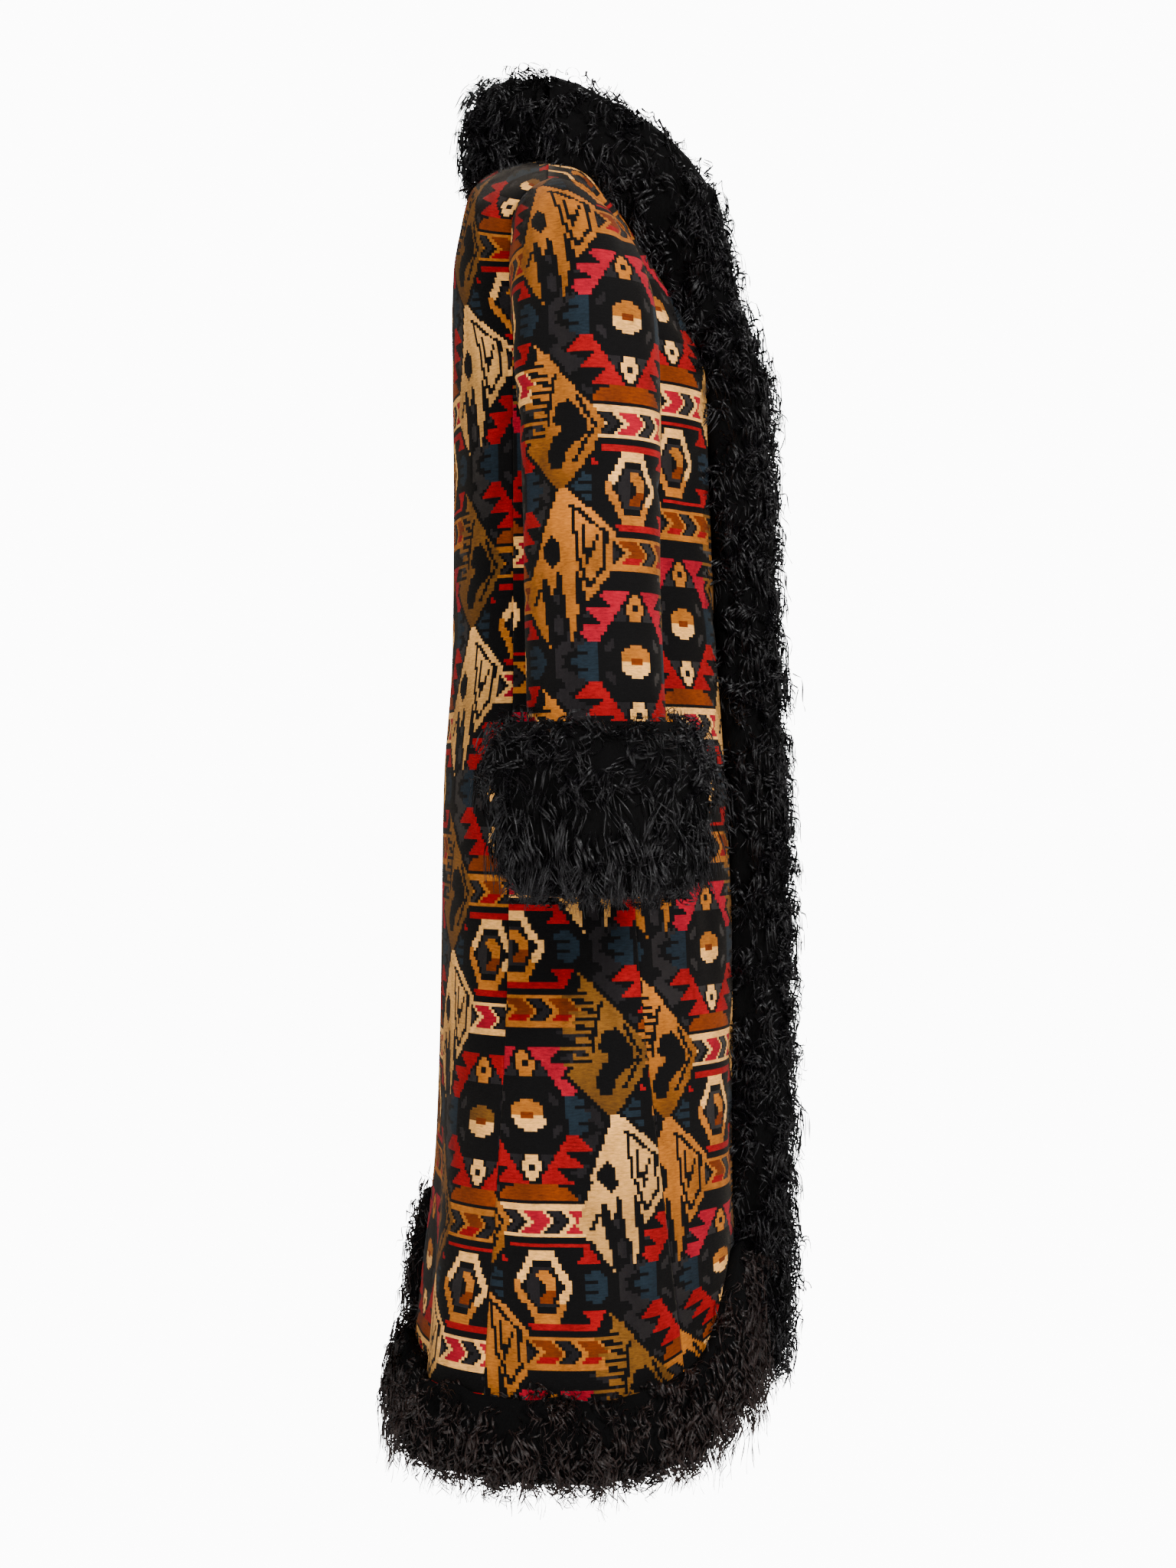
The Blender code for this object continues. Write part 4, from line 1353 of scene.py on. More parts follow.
def between(at: Array, stations: Array, points: Array) -> Array:
    """Points of a line, straight between the given ones.

    Args:
        at: the places asked for.
        stations: where the given points stand, rising.
        points: the given points.

    Returns:
        One point for each place.
    """
    return np.stack([np.interp(at, stations, points[:, k]) for k in range(3)], axis=1)


class Lines(NamedTuple):
    """A panel as rows of points, each measured across and up the flat cloth."""

    points: Array
    across: Array
    up: Array


class Inner(NamedTuple):
    """A panel's inner face: points by row and column, and how far along (0 to 1) those stand."""

    points: Array
    at_row: Array
    at_column: Array


@dataclass
class VelvetPiece:
    """One cut piece of velvet: a thin closed shell, its outer face woven cell by cell.

    shift_u, shift_v and lean say which place of the pattern it is cut from.
    """

    node: str
    left: bool
    material: bpy.types.Material
    shift_u: float = 0.0
    shift_v: float = 0.0
    lean: float = 0.0
    creases: tuple[Crease, ...] = ()
    ring: bool = field(default=False, init=False)

    def lines(self) -> Lines:
        """The piece's rows on the right side of the coat.

        Returns:
            Points by row and column, and their flat places.
        """
        raise NotImplementedError

    def creased(self, points: Array, normals: Array, u: Array, v: Array) -> Array:
        """Points moved along their normals by the creases laid by hand.

        Args:
            points: the points.
            normals: their normals.
            u: their places across the flat piece.
            v: their places up it.

        Returns:
            Points moved along their normals by the piece's creases.
        """
        push = np.zeros(len(points))
        for crease in self.creases:
            turn = math.radians(crease.lean)
            du, dv = u - crease.across, v - crease.up
            along = du * math.cos(turn) + dv * math.sin(turn)
            aside = -du * math.sin(turn) + dv * math.cos(turn)
            aside = aside + CREASE_BOW * along * along / crease.run
            fade = 1 - smooth(np.abs(along) / crease.run)
            push += crease.depth * fade * np.exp(-((aside / crease.width) ** 2))
        return points + normals * push[:, None]

    def outer(self, lines: Lines) -> dict[str, Array]:
        """The woven face: one quad for each cell of the cloth.

        Args:
            lines: the piece's rows.

        Returns:
            Vertices, quads, triangles, the cell of each face, and the four edges.
        """
        low, high = lines.across[:, 0], lines.across[:, -1]
        first = np.floor(low / CELL + 1e-6).astype(int)
        last = np.ceil(high / CELL - 1e-6).astype(int)
        base = np.concatenate([[0], np.cumsum(last - first + 1)])
        points, us = [], []
        for row in range(len(lines.up)):
            u = np.clip(np.arange(first[row], last[row] + 1) * CELL, low[row], high[row])
            us.append(u)
            points.append(between(u, lines.across[row], lines.points[row]))
        columns = np.arange(first.min(), last.max() + 1)
        held = np.clip(columns[None, :], first[:, None], last[:, None]) - first[:, None]
        number = base[:-1, None] + held
        if self.ring:
            closed = lines.points[:, 0] - lines.points[:, -1]
            whole = np.linalg.norm(closed, axis=1) < 1e-6
            end = (base[1:] - 1)[:, None]
            number = np.where(whole[:, None] & (number == end), base[:-1, None], number)
        a, b = number[:-1, :-1], number[:-1, 1:]
        c, d = number[1:, 1:], number[1:, :-1]
        flat_low, flat_high = a == b, c == d
        cell_u = np.broadcast_to(columns[None, :-1], a.shape)
        cell_v = np.broadcast_to(np.arange(len(lines.up) - 1)[:, None], a.shape)
        full = ~flat_low & ~flat_high
        wedge_up = ~flat_low & flat_high
        wedge_down = flat_low & ~flat_high
        quads = np.stack([a[full], b[full], c[full], d[full]], axis=1)
        triangles = np.concatenate([
            np.stack([a[wedge_up], b[wedge_up], c[wedge_up]], axis=1),
            np.stack([a[wedge_down], c[wedge_down], d[wedge_down]], axis=1),
        ])
        order = (full, wedge_up, wedge_down)
        return {
            "points": np.concatenate(points),
            "u": np.concatenate(us),
            "v": np.repeat(lines.up, last - first + 1),
            "quads": quads,
            "triangles": triangles,
            "cell_u": np.concatenate([cell_u[k] for k in order]),
            "cell_v": np.concatenate([cell_v[k] for k in order]),
            "first": base[:-1],
            "last": base[1:] - 1,
        }

    def cell_place(self, cell_u: Array, cell_v: Array, lines: Lines) -> tuple[Array, Array]:
        """Where cells lie in the weave's own measure.

        Args:
            cell_u: cell numbers across.
            cell_v: row numbers.
            lines: the piece's rows.

        Returns:
            Distances across and up the uncut cloth.
        """
        u = (cell_u + 0.5) * CELL
        v = lines.up[0] + (cell_v + 0.5) * CELL
        side = -1.0 if self.left else 1.0
        across = side * (u + self.lean * (v + 1.0)) - self.shift_u
        rise = v - self.shift_v
        return (np.floor(across / CELL) + 0.5) * CELL, (np.floor(rise / CELL) + 0.5) * CELL

    def inner(self, lines: Lines) -> Inner:
        """The plain inner face on a coarser grid, not yet moved in.

        Args:
            lines: the piece's rows.

        Returns:
            The face.
        """
        rows = max(int(len(lines.up) * CELL / INNER_STEP), 3)
        at_row = np.unique(np.linspace(0, len(lines.up) - 1, rows).round().astype(int))
        widest = float(np.max(lines.across[:, -1] - lines.across[:, 0]))
        at_column = np.linspace(0, 1, max(int(widest / INNER_STEP), 3) + 1)
        points = []
        for row in at_row:
            run = lines.across[row]
            points.append(between(run[0] + (run[-1] - run[0]) * at_column, run, lines.points[row]))
        return Inner(np.array(points), at_row / (len(lines.up) - 1), at_column)

    def build(self) -> bpy.types.Object:
        """Builds and dresses the piece.

        Returns:
            The object, which stands for its CAD node.
        """
        lines = self.lines()
        woven = self.outer(lines)
        tone, light = WEAVE.paint(*self.cell_place(woven["cell_u"], woven["cell_v"], lines))
        colour = np.array([PALETTE[Tone(k)].linear() for k in range(len(PALETTE))])[tone]
        points, quads, triangles = woven["points"], woven["quads"], woven["triangles"]
        normals = np.zeros_like(points)
        face_sums(points, quads, normals)
        face_sums(points, triangles, normals)
        normals = unit(normals)
        turned = bool(np.sum(normals * self.outward(points)) < 0)
        if turned:
            normals = -normals
        edge = np.zeros(len(points))
        if not self.ring:
            edge[woven["first"]] = edge[woven["last"]] = 1.0
        height = averaged(len(points), (quads, triangles), colour[:, 3])
        points = self.creased(points, normals, woven["u"], woven["v"])
        points = points + normals * (height * PILE_HEIGHT - edge * SEAM_SINK)[:, None]
        inner = self.inner(lines)
        out = unit(np.cross(np.gradient(inner.points, axis=1), np.gradient(inner.points, axis=0)))
        if np.sum(out * self.outward(inner.points)) < 0:
            out = -out
        out = out.reshape(-1, 3)
        place = self.inner_place(lines, inner)
        inside = self.creased(inner.points.reshape(-1, 3), out, *place) - out * WALL
        grid = len(points) + np.arange(len(inside)).reshape(inner.points.shape[:2])
        self.close_ring(inside, grid)
        back = np.stack([grid[:-1, :-1], grid[1:, :-1], grid[1:, 1:], grid[:-1, 1:]], axis=-1)
        groups = [quads, back.reshape(-1, 4), triangles, self.rims(woven, lines, grid, inner)]
        points = np.concatenate([points, inside])
        if self.left:
            points[:, 0] *= -1
        if turned != self.left:
            groups = [group[:, ::-1] for group in groups]
        fours, threes = np.concatenate(groups[:2]), np.concatenate(groups[2:])
        obj = add_mesh(self.node, points, fours, threes, self.material)
        self.paint(obj, colour, light, [len(group) for group in groups])
        flat = np.stack([np.append(woven["u"], place[0]), np.append(woven["v"], place[1])], axis=1)
        lay_out(obj, "cloth", flat)
        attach(obj, "root")
        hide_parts(self.node)
        LOG.info("%s: %d faces", self.node, len(fours) * 2 + len(threes))
        return obj

    def outward(self, points: Array) -> Array:
        """Roughly which way is out of the coat at points of the right side.

        Args:
            points: the points.

        Returns:
            Directions away from the middle of the body.
        """
        return points - BODY_MIDDLE

    def inner_place(self, lines: Lines, inner: Inner) -> tuple[Array, Array]:
        """Flat places of the inner face's points.

        Args:
            lines: the piece's rows.
            inner: the inner face.

        Returns:
            Across and up, one value for each point.
        """
        rows = (inner.at_row * (len(lines.up) - 1)).round().astype(int)
        low, high = lines.across[rows, 0], lines.across[rows, -1]
        u = low[:, None] + (high - low)[:, None] * inner.at_column
        v = np.broadcast_to(lines.up[rows][:, None], u.shape)
        return u.reshape(-1), v.reshape(-1)

    def close_ring(self, inside: Array, grid: Indices) -> None:
        """Joins the inner face's side edges where a piece is a tube. A panel stays open.

        Args:
            inside: the inner points; not used by a panel.
            grid: their vertex numbers by row and column; not used by a panel.
        """

    def rims(self, woven: dict[str, Array], lines: Lines, grid: Indices, inner: Inner) -> Indices:
        """Triangles that close the edges between the two faces.

        Args:
            woven: the woven face.
            lines: the piece's rows; not used here.
            grid: the inner face's vertex numbers.
            inner: the inner face.

        Returns:
            The triangles.
        """
        first, last = woven["first"], woven["last"]
        up = np.linspace(0, 1, len(first))
        made = []
        for row, way in ((0, -1), (-1, 1)):
            numbers = np.arange(first[row], last[row] + 1)
            u = woven["u"][numbers]
            share = (u - u[0]) / (u[-1] - u[0])
            made.append(zipped(numbers, share, grid[row], inner.at_column)[:, ::way])
        made.append(zipped(first, up, grid[:, 0], inner.at_row))
        made.append(zipped(last, up, grid[:, -1], inner.at_row)[:, ::-1])
        return np.concatenate(made)

    def paint(
        self, obj: bpy.types.Object, colour: Array, light: Array, counts: Sequence[int]
    ) -> None:
        """Writes each face's colour and pile to its corners.

        Args:
            obj: the piece.
            colour: colours and pile of the woven faces, quads first.
            light: their lightness.
            counts: how many woven quads, plain quads, woven triangles and rim triangles.
        """
        quads, back, triangles, rims = counts
        rgb = colour.copy()
        rgb[:, :3] *= light[:, None]
        faces = np.concatenate([
            rgb[:quads], np.tile(LINING, (back, 1)), rgb[quads:], np.tile(LINING, (rims, 1)),
        ])
        corners = np.repeat(faces, [4] * (quads + back) + [3] * (triangles + rims), axis=0)
        tint = obj.data.attributes.new("tint", "FLOAT_COLOR", "CORNER")
        values = np.concatenate([corners[:, :3], np.ones((len(corners), 1))], axis=1)
        tint.data.foreach_set("color", values.astype(np.float32).reshape(-1))
        pile = obj.data.attributes.new("pile", "FLOAT", "CORNER")
        pile.data.foreach_set("value", corners[:, 3].astype(np.float32))


# Columns of a panel as shares of its width: even below the armpit, closer at the yoke's end
ROW_SHARES = np.linspace(0, 1, ROW_SAMPLES)[None, :]
YOKE_SHARES = 1 - (1 - ROW_SHARES) ** 2


def skirt_levels() -> Array:
    """The heights of the woven rows from the hem to the armpit.

    Returns:
        Levels about one cell apart, rising.
    """
    count = int(round((ARMPIT_Z - HEM_SIDE_Z) / CELL))
    return np.linspace(HEM_SIDE_Z, ARMPIT_Z, count + 1)


def raised(along: Array, level: Array) -> Array:
    """Levels lifted toward the hem so that the lowest row follows the edge of the cut.

    Args:
        along: distances from centre front.
        level: heights of rows.

    Returns:
        The heights.
    """
    fade = 1 - smooth((level - HEM_SIDE_Z) / HEM_RISE_FADE)
    return level + FORM.hem_rise(along, level) * fade


def yoke_rises(facing: int) -> Array:
    """How far up the yoke its woven rows stand, one cell apart on the measured line.

    Args:
        facing: -1 for the front and 1 for the back.

    Returns:
        Shares from 0 (armpit), which is left out, to 1 (shoulder).
    """
    up = np.linspace(0, 1, 600)
    top = float(FORM.ridge(YOKE_MEASURE_X))
    z = ARMPIT_Z + (top - ARMPIT_Z) * up
    y = FORM.yoke_y(np.full(up.shape, YOKE_MEASURE_X), z, facing)
    run = np.concatenate([[0], np.cumsum(np.hypot(np.diff(z), np.diff(y)))])
    count = int(round(run[-1] / CELL))
    return np.interp(np.linspace(0, run[-1], count + 1)[1:], run, up)


def skirt(start: Array, end: Union[float, Array], left: bool) -> Array:
    """A panel's rows from the hem to the armpit.

    Args:
        start: where each row starts, as distance from centre front.
        end: where it ends.
        left: take the left half's folds.

    Returns:
        Points by row and column.
    """
    along = start[:, None] + np.reshape(end - start, (-1, 1)) * ROW_SHARES
    z = raised(along, np.broadcast_to(skirt_levels()[:, None], along.shape))
    return FORM.body(along, z, left)


def armhole_edge(start_x: float, side: str, rises: Array) -> Array:
    """Half widths of a panel's edge along the armhole.

    Args:
        start_x: the half width at the armpit.
        side: front_x or back_x.
        rises: how far up the yoke each row stands, 0 to 1.

    Returns:
        One half width for each row.
    """
    table = [0.0] + [row.up for row in ARMHOLE]
    return Curve(table, [start_x] + [getattr(row, side) for row in ARMHOLE])(rises)


def panel(points: Array, across: Array) -> Lines:
    """A panel's rows, one cell apart from the hem up.

    Args:
        points: its points by row and column.
        across: their places across the flat piece.

    Returns:
        Points and their flat places.
    """
    return Lines(points, across, HEM_SIDE_Z + np.arange(len(points)) * CELL)


@dataclass
class FrontPiece(VelvetPiece):
    """A front: from the front edge to the side seam, and up to the shoulder."""

    def lines(self) -> Lines:
        """The front's rows, measured back from centre front.

        Returns:
            Points by row and column, and their flat places.
        """
        level = skirt_levels()
        seam = FORM.seam_along(level, FORM.to_front) + SEAM_LAP / 2
        below = skirt(seam, FRONT_EDGE_X, self.left)
        rises = yoke_rises(-1)
        armhole = armhole_edge(float(-below[-1, 0, 0]), "front_x", rises)
        inner_z = ARMPIT_Z + (NECK_Z - ARMPIT_Z) * rises
        outer_z = ARMPIT_Z + (SHOULDER_Z - ARMPIT_Z) * rises
        climb = np.maximum(inner_z - V_START_Z, 0.0) / (NECK_Z - V_START_Z)
        inner_x = FRONT_EDGE_X + (NECK_HALF - FRONT_EDGE_X) * climb ** V_POWER
        x = armhole[:, None] + (inner_x - armhole)[:, None] * YOKE_SHARES
        run = (x - inner_x[:, None]) / (armhole - inner_x)[:, None]
        height = inner_z[:, None] + (outer_z - inner_z)[:, None] * run
        y = FORM.yoke_y(x, height, -1)
        y[-1] = SEAM_LAP / 2
        height[-1] = FORM.ridge(x[-1])
        points = np.concatenate([below, np.stack([-x, y, height], axis=-1)])
        edge = np.concatenate([np.full(len(level), FRONT_EDGE_X), inner_x])
        run = run_along(points)
        return panel(points, run - run[:, -1:] - edge[:, None])


@dataclass
class SidePiece(VelvetPiece):
    """A side panel, from the hem to under the arm."""

    def lines(self) -> Lines:
        """The side panel's rows, measured from its own middle.

        Returns:
            Points by row and column, and their flat places.
        """
        level = skirt_levels()
        to_front = FORM.seam_along(level, FORM.to_front) - SEAM_LAP / 2
        to_back = FORM.seam_along(level, FORM.to_back) + SEAM_LAP / 2
        points = skirt(to_back, to_front, self.left)
        run = run_along(points)
        return panel(points, run - run[:, -1:] / 2)


@dataclass
class BackPiece(VelvetPiece):
    """Half of the back: from the centre back seam to the side seam, up to the shoulder."""

    def lines(self) -> Lines:
        """The back's rows, measured from centre back.

        Returns:
            Points by row and column, and their flat places.
        """
        level = skirt_levels()
        seam = FORM.seam_along(level, FORM.to_back) - SEAM_LAP / 2
        below = skirt(FORM.girth(level) + SEAM_LAP / 2, seam, self.left)
        rises = yoke_rises(1)
        armhole = armhole_edge(float(-below[-1, -1, 0]), "back_x", rises)
        x = -SEAM_LAP / 2 + (armhole[:, None] + SEAM_LAP / 2) * YOKE_SHARES
        dip = NECK_BACK_DIP * np.maximum(1 - (x / NECK_HALF) ** 2, 0.0)
        height = ARMPIT_Z + (FORM.ridge(x) - dip - ARMPIT_Z) * rises[:, None]
        y = FORM.yoke_y(x, height, 1)
        y[-1] = np.where(dip[-1] > 0, y[-1], -SEAM_LAP / 2)
        points = np.concatenate([below, np.stack([-x, y, height], axis=-1)])
        return panel(points, run_along(points))


@dataclass
class SleevePiece(VelvetPiece):
    """A sleeve: a tube from the wrist to the armhole, closed along the underarm."""

    def __post_init__(self) -> None:
        """Marks the piece as a closed tube."""
        self.ring = True

    def armhole(self) -> tuple[Array, Array]:
        """The armhole's edge as a closed line from the shoulder over the back.

        Returns:
            Points, and the share of the way round of each, 0 to 1.
        """
        front, side, back = (
            kind("", False, self.material).lines().points
            for kind in (FrontPiece, SidePiece, BackPiece)
        )
        start = len(skirt_levels()) - 1
        loop = np.concatenate([back[start:, -1][::-1], side[-1], front[start:, 0]])
        run = run_along(loop)
        at = np.linspace(0, 1, ARMHOLE_SAMPLES)
        loop = between(at, run / run[-1], loop)
        loop[:, 0] -= SLEEVE_START
        return loop, at

    def lines(self) -> Lines:
        """The sleeve's rows at even heights, cut by the armhole above the armpit.

        Returns:
            Points by row and column, and their flat places.
        """
        loop, at = self.armhole()
        turn = np.where(at > 0.5, at - 1, at)
        full_z = ARMPIT_Z - UNDERARM_DROP * (1 - np.cos(2 * math.pi * turn)) / 2
        top, low = loop[0], FORM.arm(turn, full_z)[0]
        swing = np.linspace(0, math.pi / 2, CAP_SAMPLES)
        quarter = np.stack([np.sin(swing), np.sin(swing), 1 - np.cos(swing)], axis=1)
        path = top + (low - top) * quarter
        cap_run = run_along(path)
        total = cap_run[-1] + (full_z[0] - WRIST_Z) * SLEEVE_SLANT
        count = int(round(total / CELL))
        depth = np.linspace(total, SLEEVE_TOP_CELLS * CELL, count)
        level = np.where(
            depth > cap_run[-1],
            full_z[0] - (depth - cap_run[-1]) / SLEEVE_SLANT,
            np.interp(depth, cap_run, path[:, 2]),
        )
        sides = np.linspace(-1, 1, 2 * ROW_SAMPLES + 1)
        behind = at <= 0.5
        halves = (
            (-loop[behind, 2], turn[behind]),
            (-loop[~behind, 2][::-1], -turn[~behind][::-1]),
        )
        rows = []
        for z in level:
            ends = [0.5, 0.5]
            if z > ARMPIT_Z + 1e-4:
                ends = [float(np.interp(-z, down, edge)) for down, edge in halves]
            places = np.where(sides >= 0, sides * ends[0], sides * ends[1])
            start = between(np.where(places < 0, places + 1, places), at, loop)
            if abs(ends[1] - 0.5) < 1e-9:
                start[0] = start[-1]
            dropped = ARMPIT_Z - UNDERARM_DROP * (1 - np.cos(2 * math.pi * places)) / 2
            ring = FORM.arm(places, np.minimum(dropped, z))
            whole = FORM.arm(places, dropped)
            fall = np.clip((z - start[:, 2]) / (dropped - start[:, 2]), 0, 1)
            cap = start + (whole - start) * np.sin(np.arccos(np.clip(1 - fall, -1, 1)))[:, None]
            line = np.where((z > dropped)[:, None], cap, ring)
            line[:, 2] = z
            rows.append(line)
        points = np.array(rows)
        run = run_along(points)
        across = run[:, ROW_SAMPLES : ROW_SAMPLES + 1] - run
        up = -(total - np.arange(count) * CELL)
        return Lines(points[:, ::-1], across[:, ::-1], up)

    def outward(self, points: Array) -> Array:
        """Roughly which way is out of the sleeve.

        Args:
            points: points of the right sleeve.

        Returns:
            Directions away from the arm's middle line.
        """
        z = np.minimum(points[..., 2], ARMPIT_Z)
        middle = np.stack([FORM.arm_x(z), FORM.arm_y(z), points[..., 2]], axis=-1)
        return points - middle

    def rims(self, woven: dict[str, Array], lines: Lines, grid: Indices, inner: Inner) -> Indices:
        """Triangles that close the wrist and the armhole between the two faces.

        Args:
            woven: the woven face.
            lines: the piece's rows.
            grid: the inner face's vertex numbers.
            inner: the inner face.

        Returns:
            The triangles.
        """
        first, last = woven["first"], woven["last"]
        gap = np.linalg.norm(lines.points[:, 0] - lines.points[:, -1], axis=1)
        opened = int(np.argmax(gap > 1e-6))
        numbers = np.arange(first[0], last[0] + 1)
        u = woven["u"][numbers]
        share = (u - u[0]) / (u[-1] - u[0])
        numbers[-1] = numbers[0]
        wrist = zipped(numbers, share, grid[0], inner.at_column)[:, ::-1]
        top = np.arange(first[-1], last[-1] + 1)
        start = first[opened - 1 : opened]
        seam = np.concatenate([start, first[opened:-1], top, last[opened:-1][::-1], start])
        row = int(np.argmax(inner.at_row * (len(first) - 1) >= opened))
        start = grid[row - 1 : row, 0]
        inner_seam = np.concatenate([
            start, grid[row:, 0], grid[-1, 1:-1], grid[row:, -1][::-1], start,
        ])
        at_seam, at_inner = (np.linspace(0, 1, len(line)) for line in (seam, inner_seam))
        return np.concatenate([wrist, zipped(seam, at_seam, inner_seam, at_inner)])

    def close_ring(self, inside: Array, grid: Indices) -> None:
        """Joins the inner face's two edges below the armpit.

        Args:
            inside: the inner points.
            grid: their vertex numbers by row and column, changed in place.
        """
        shaped = inside.reshape(*grid.shape, 3)
        closed = np.linalg.norm(shaped[:, 0] - shaped[:, -1], axis=1) < SLEEVE_JOINED
        grid[closed, -1] = grid[closed, 0]


class Growth(NamedTuple):
    """How the locks of one region of fur grow.

    spacing parts the clumps, strands is how many ribbons each has, lie is how far a lock lies
    along the skin (1) instead of standing out (0), and fall how far it hangs (1) instead of
    turning any way (0). width is a ribbon's, sag is how far a tip sinks as a share of the
    lock's length, and loft is how far a lock can stand off the skin. No tip hangs below stop_z,
    and scallop is how much higher the tips end toward the front and the back. loose is the
    share of clumps that turn any way, and segments is how many quads make a ribbon. Lengths
    are in metres; low and high bound even random draws.
    """

    spacing: float
    strands: int
    low_length: float
    high_length: float
    low_radius: float
    high_radius: float
    low_turns: float
    high_turns: float
    lie: float
    fall: float
    width: float
    sag: float
    loft: float
    stop_z: float = -9.0
    scallop: float = 0.0
    loose: float = 0.18
    segments: int = 10


class Region(NamedTuple):
    """A part of a fur strip between two heights, and how it grows."""

    low_z: float
    high_z: float
    growth: Growth


COLLAR_CURLS = Growth(
    spacing=0.0155, strands=6, low_length=0.026, high_length=0.050, low_radius=0.0040,
    high_radius=0.0088, low_turns=0.9, high_turns=1.6, lie=0.62, fall=0.34, width=0.0017,
    sag=0.14, loft=0.021, segments=9,
)
BAND_CURLS = Growth(
    spacing=0.0180, strands=6, low_length=0.026, high_length=0.048, low_radius=0.0042,
    high_radius=0.0090, low_turns=0.9, high_turns=1.6, lie=0.68, fall=0.46, width=0.0018,
    sag=0.18, loft=0.018, segments=9,
)
CUFF_CURLS = Growth(
    spacing=0.0165, strands=6, low_length=0.030, high_length=0.054, low_radius=0.0034,
    high_radius=0.0076, low_turns=0.8, high_turns=1.5, lie=0.64, fall=0.46, width=0.0016,
    sag=0.18, loft=0.021, stop_z=-0.735, scallop=0.020, loose=0.42, segments=9,
)
CUFF_STRANDS = Growth(
    spacing=0.0158, strands=8, low_length=0.060, high_length=0.092, low_radius=0.0026,
    high_radius=0.0054, low_turns=0.9, high_turns=1.6, lie=0.88, fall=0.88, width=0.0015,
    sag=0.20, loft=0.022, stop_z=-0.750, scallop=0.024, segments=10,
)
HEM_LOCKS = Growth(
    spacing=0.0182, strands=6, low_length=0.048, high_length=0.086, low_radius=0.0036,
    high_radius=0.0066, low_turns=1.7, high_turns=2.7, lie=0.84, fall=0.80, width=0.0019,
    sag=0.22, loft=0.016, stop_z=-1.297, loose=0.20, segments=13,
)
VENT_CURLS = Growth(
    spacing=0.0150, strands=6, low_length=0.024, high_length=0.044, low_radius=0.0036,
    high_radius=0.0074, low_turns=0.9, high_turns=1.6, lie=0.72, fall=0.56, width=0.0017,
    sag=0.18, loft=0.015, stop_z=-1.297, segments=9,
)


# Heights: past every strip, the lowest of the cuff's curls and the highest of its strands
ANYWHERE = 9.0
CUFF_CURLS_Z = -0.645
CUFF_STRANDS_Z = -0.640

# Cores of the strips, which tell outward from inward
BODY_CORE_SHARE = 0.35
ARM_CORE_RISE = 0.02
COLLAR_CORE_X = NECK_HALF + 0.016
COLLAR_CORE_Y = 0.066
COLLAR_MIDDLE_Y = 0.004
COLLAR_CORE_Z = 0.030
HEM_CORE_DEPTH = 0.05
LEVEL = np.array([1.0, 1.0, 0.0])
DOWN = np.array([0.0, 0.0, -1.0])

# Joints between strips, where the underfur isn't moved in across the joint, and its relief
NAPE_HALF_Y = 0.002
NAPE_LOWEST_Z = -0.09
MIDDLE_HALF_X = 0.003
UNDERFUR_RELIEF = 0.0016

# Clumps: draws for each place kept, and the grid that thins them, in spacings
DRAWS = 5
THINNING = 0.86


@dataclass
class Skin:
    """The face of a fur strip's solid that hair grows on, read from the frame."""

    node: str
    middle: Callable[[Array], Array]
    least_out: float = -0.25

    def read(self) -> tuple[Array, Indices, Array, Array]:
        """The solid's own mesh.

        Returns:
            Points, triangles, smooth normals at the points, and which triangles grow hair.
        """
        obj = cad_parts[self.node]
        mesh = obj.data
        mesh.calc_loop_triangles()
        points = np.zeros(len(mesh.vertices) * 3)
        mesh.vertices.foreach_get("co", points)
        turned = np.array(obj.matrix_world)
        points = points.reshape(-1, 3) @ turned[:3, :3].T + turned[:3, 3]
        triangles = np.zeros(len(mesh.loop_triangles) * 3, np.int32)
        mesh.loop_triangles.foreach_get("vertices", triangles)
        merged, index = np.unique(points.round(6), axis=0, return_inverse=True)
        triangles = index.reshape(-1)[triangles].reshape(-1, 3)
        normals = np.zeros_like(merged)
        face_sums(merged, triangles, normals)
        middle = merged[triangles].mean(axis=1)
        a, b, c = (merged[triangles[:, k]] for k in range(3))
        facing = unit(np.cross(b - a, c - a))
        away = unit(middle - self.middle(middle))
        grows = np.einsum("ij,ij->i", facing, away) > self.least_out
        return merged, triangles, unit(normals), grows


def from_body(points: Array) -> Array:
    """The body's middle line beside each point.

    Args:
        points: the points.

    Returns:
        Points of the line at the same heights.
    """
    x = points[:, 0] * BODY_CORE_SHARE
    return np.stack([x, np.zeros(len(points)), points[:, 2]], axis=1)


def from_arm(points: Array) -> Array:
    """The arm's middle line beside each point.

    Args:
        points: the points, on either side.

    Returns:
        Points of the line a little above them, so that the underside counts as outward.
    """
    side = -np.sign(points[:, 0])
    z = points[:, 2]
    return np.stack([side * FORM.arm_x(z), FORM.arm_y(z), z + ARM_CORE_RISE], axis=1)


def from_neck(points: Array) -> Array:
    """A ring inside the collar, so that both of its faces count as outward.

    Args:
        points: the points.

    Returns:
        The nearest points of the collar's own core.
    """
    turn = np.arctan2(points[:, 0], points[:, 1] + COLLAR_MIDDLE_Y)
    x = COLLAR_CORE_X * np.sin(turn)
    y = COLLAR_CORE_Y * np.cos(turn) + COLLAR_MIDDLE_Y
    return np.stack([x, y, COLLAR_CORE_Z - COLLAR_CORE_Z * np.abs(np.sin(turn))], axis=1)


def from_hem(points: Array) -> Array:
    """The core of the hem's roll beside each point.

    Args:
        points: the points.

    Returns:
        Points a little inward of and above the roll.
    """
    flat = points * LEVEL
    return flat - unit(flat) * HEM_CORE_DEPTH + np.array([0.0, 0.0, HEM_SIDE_Z])


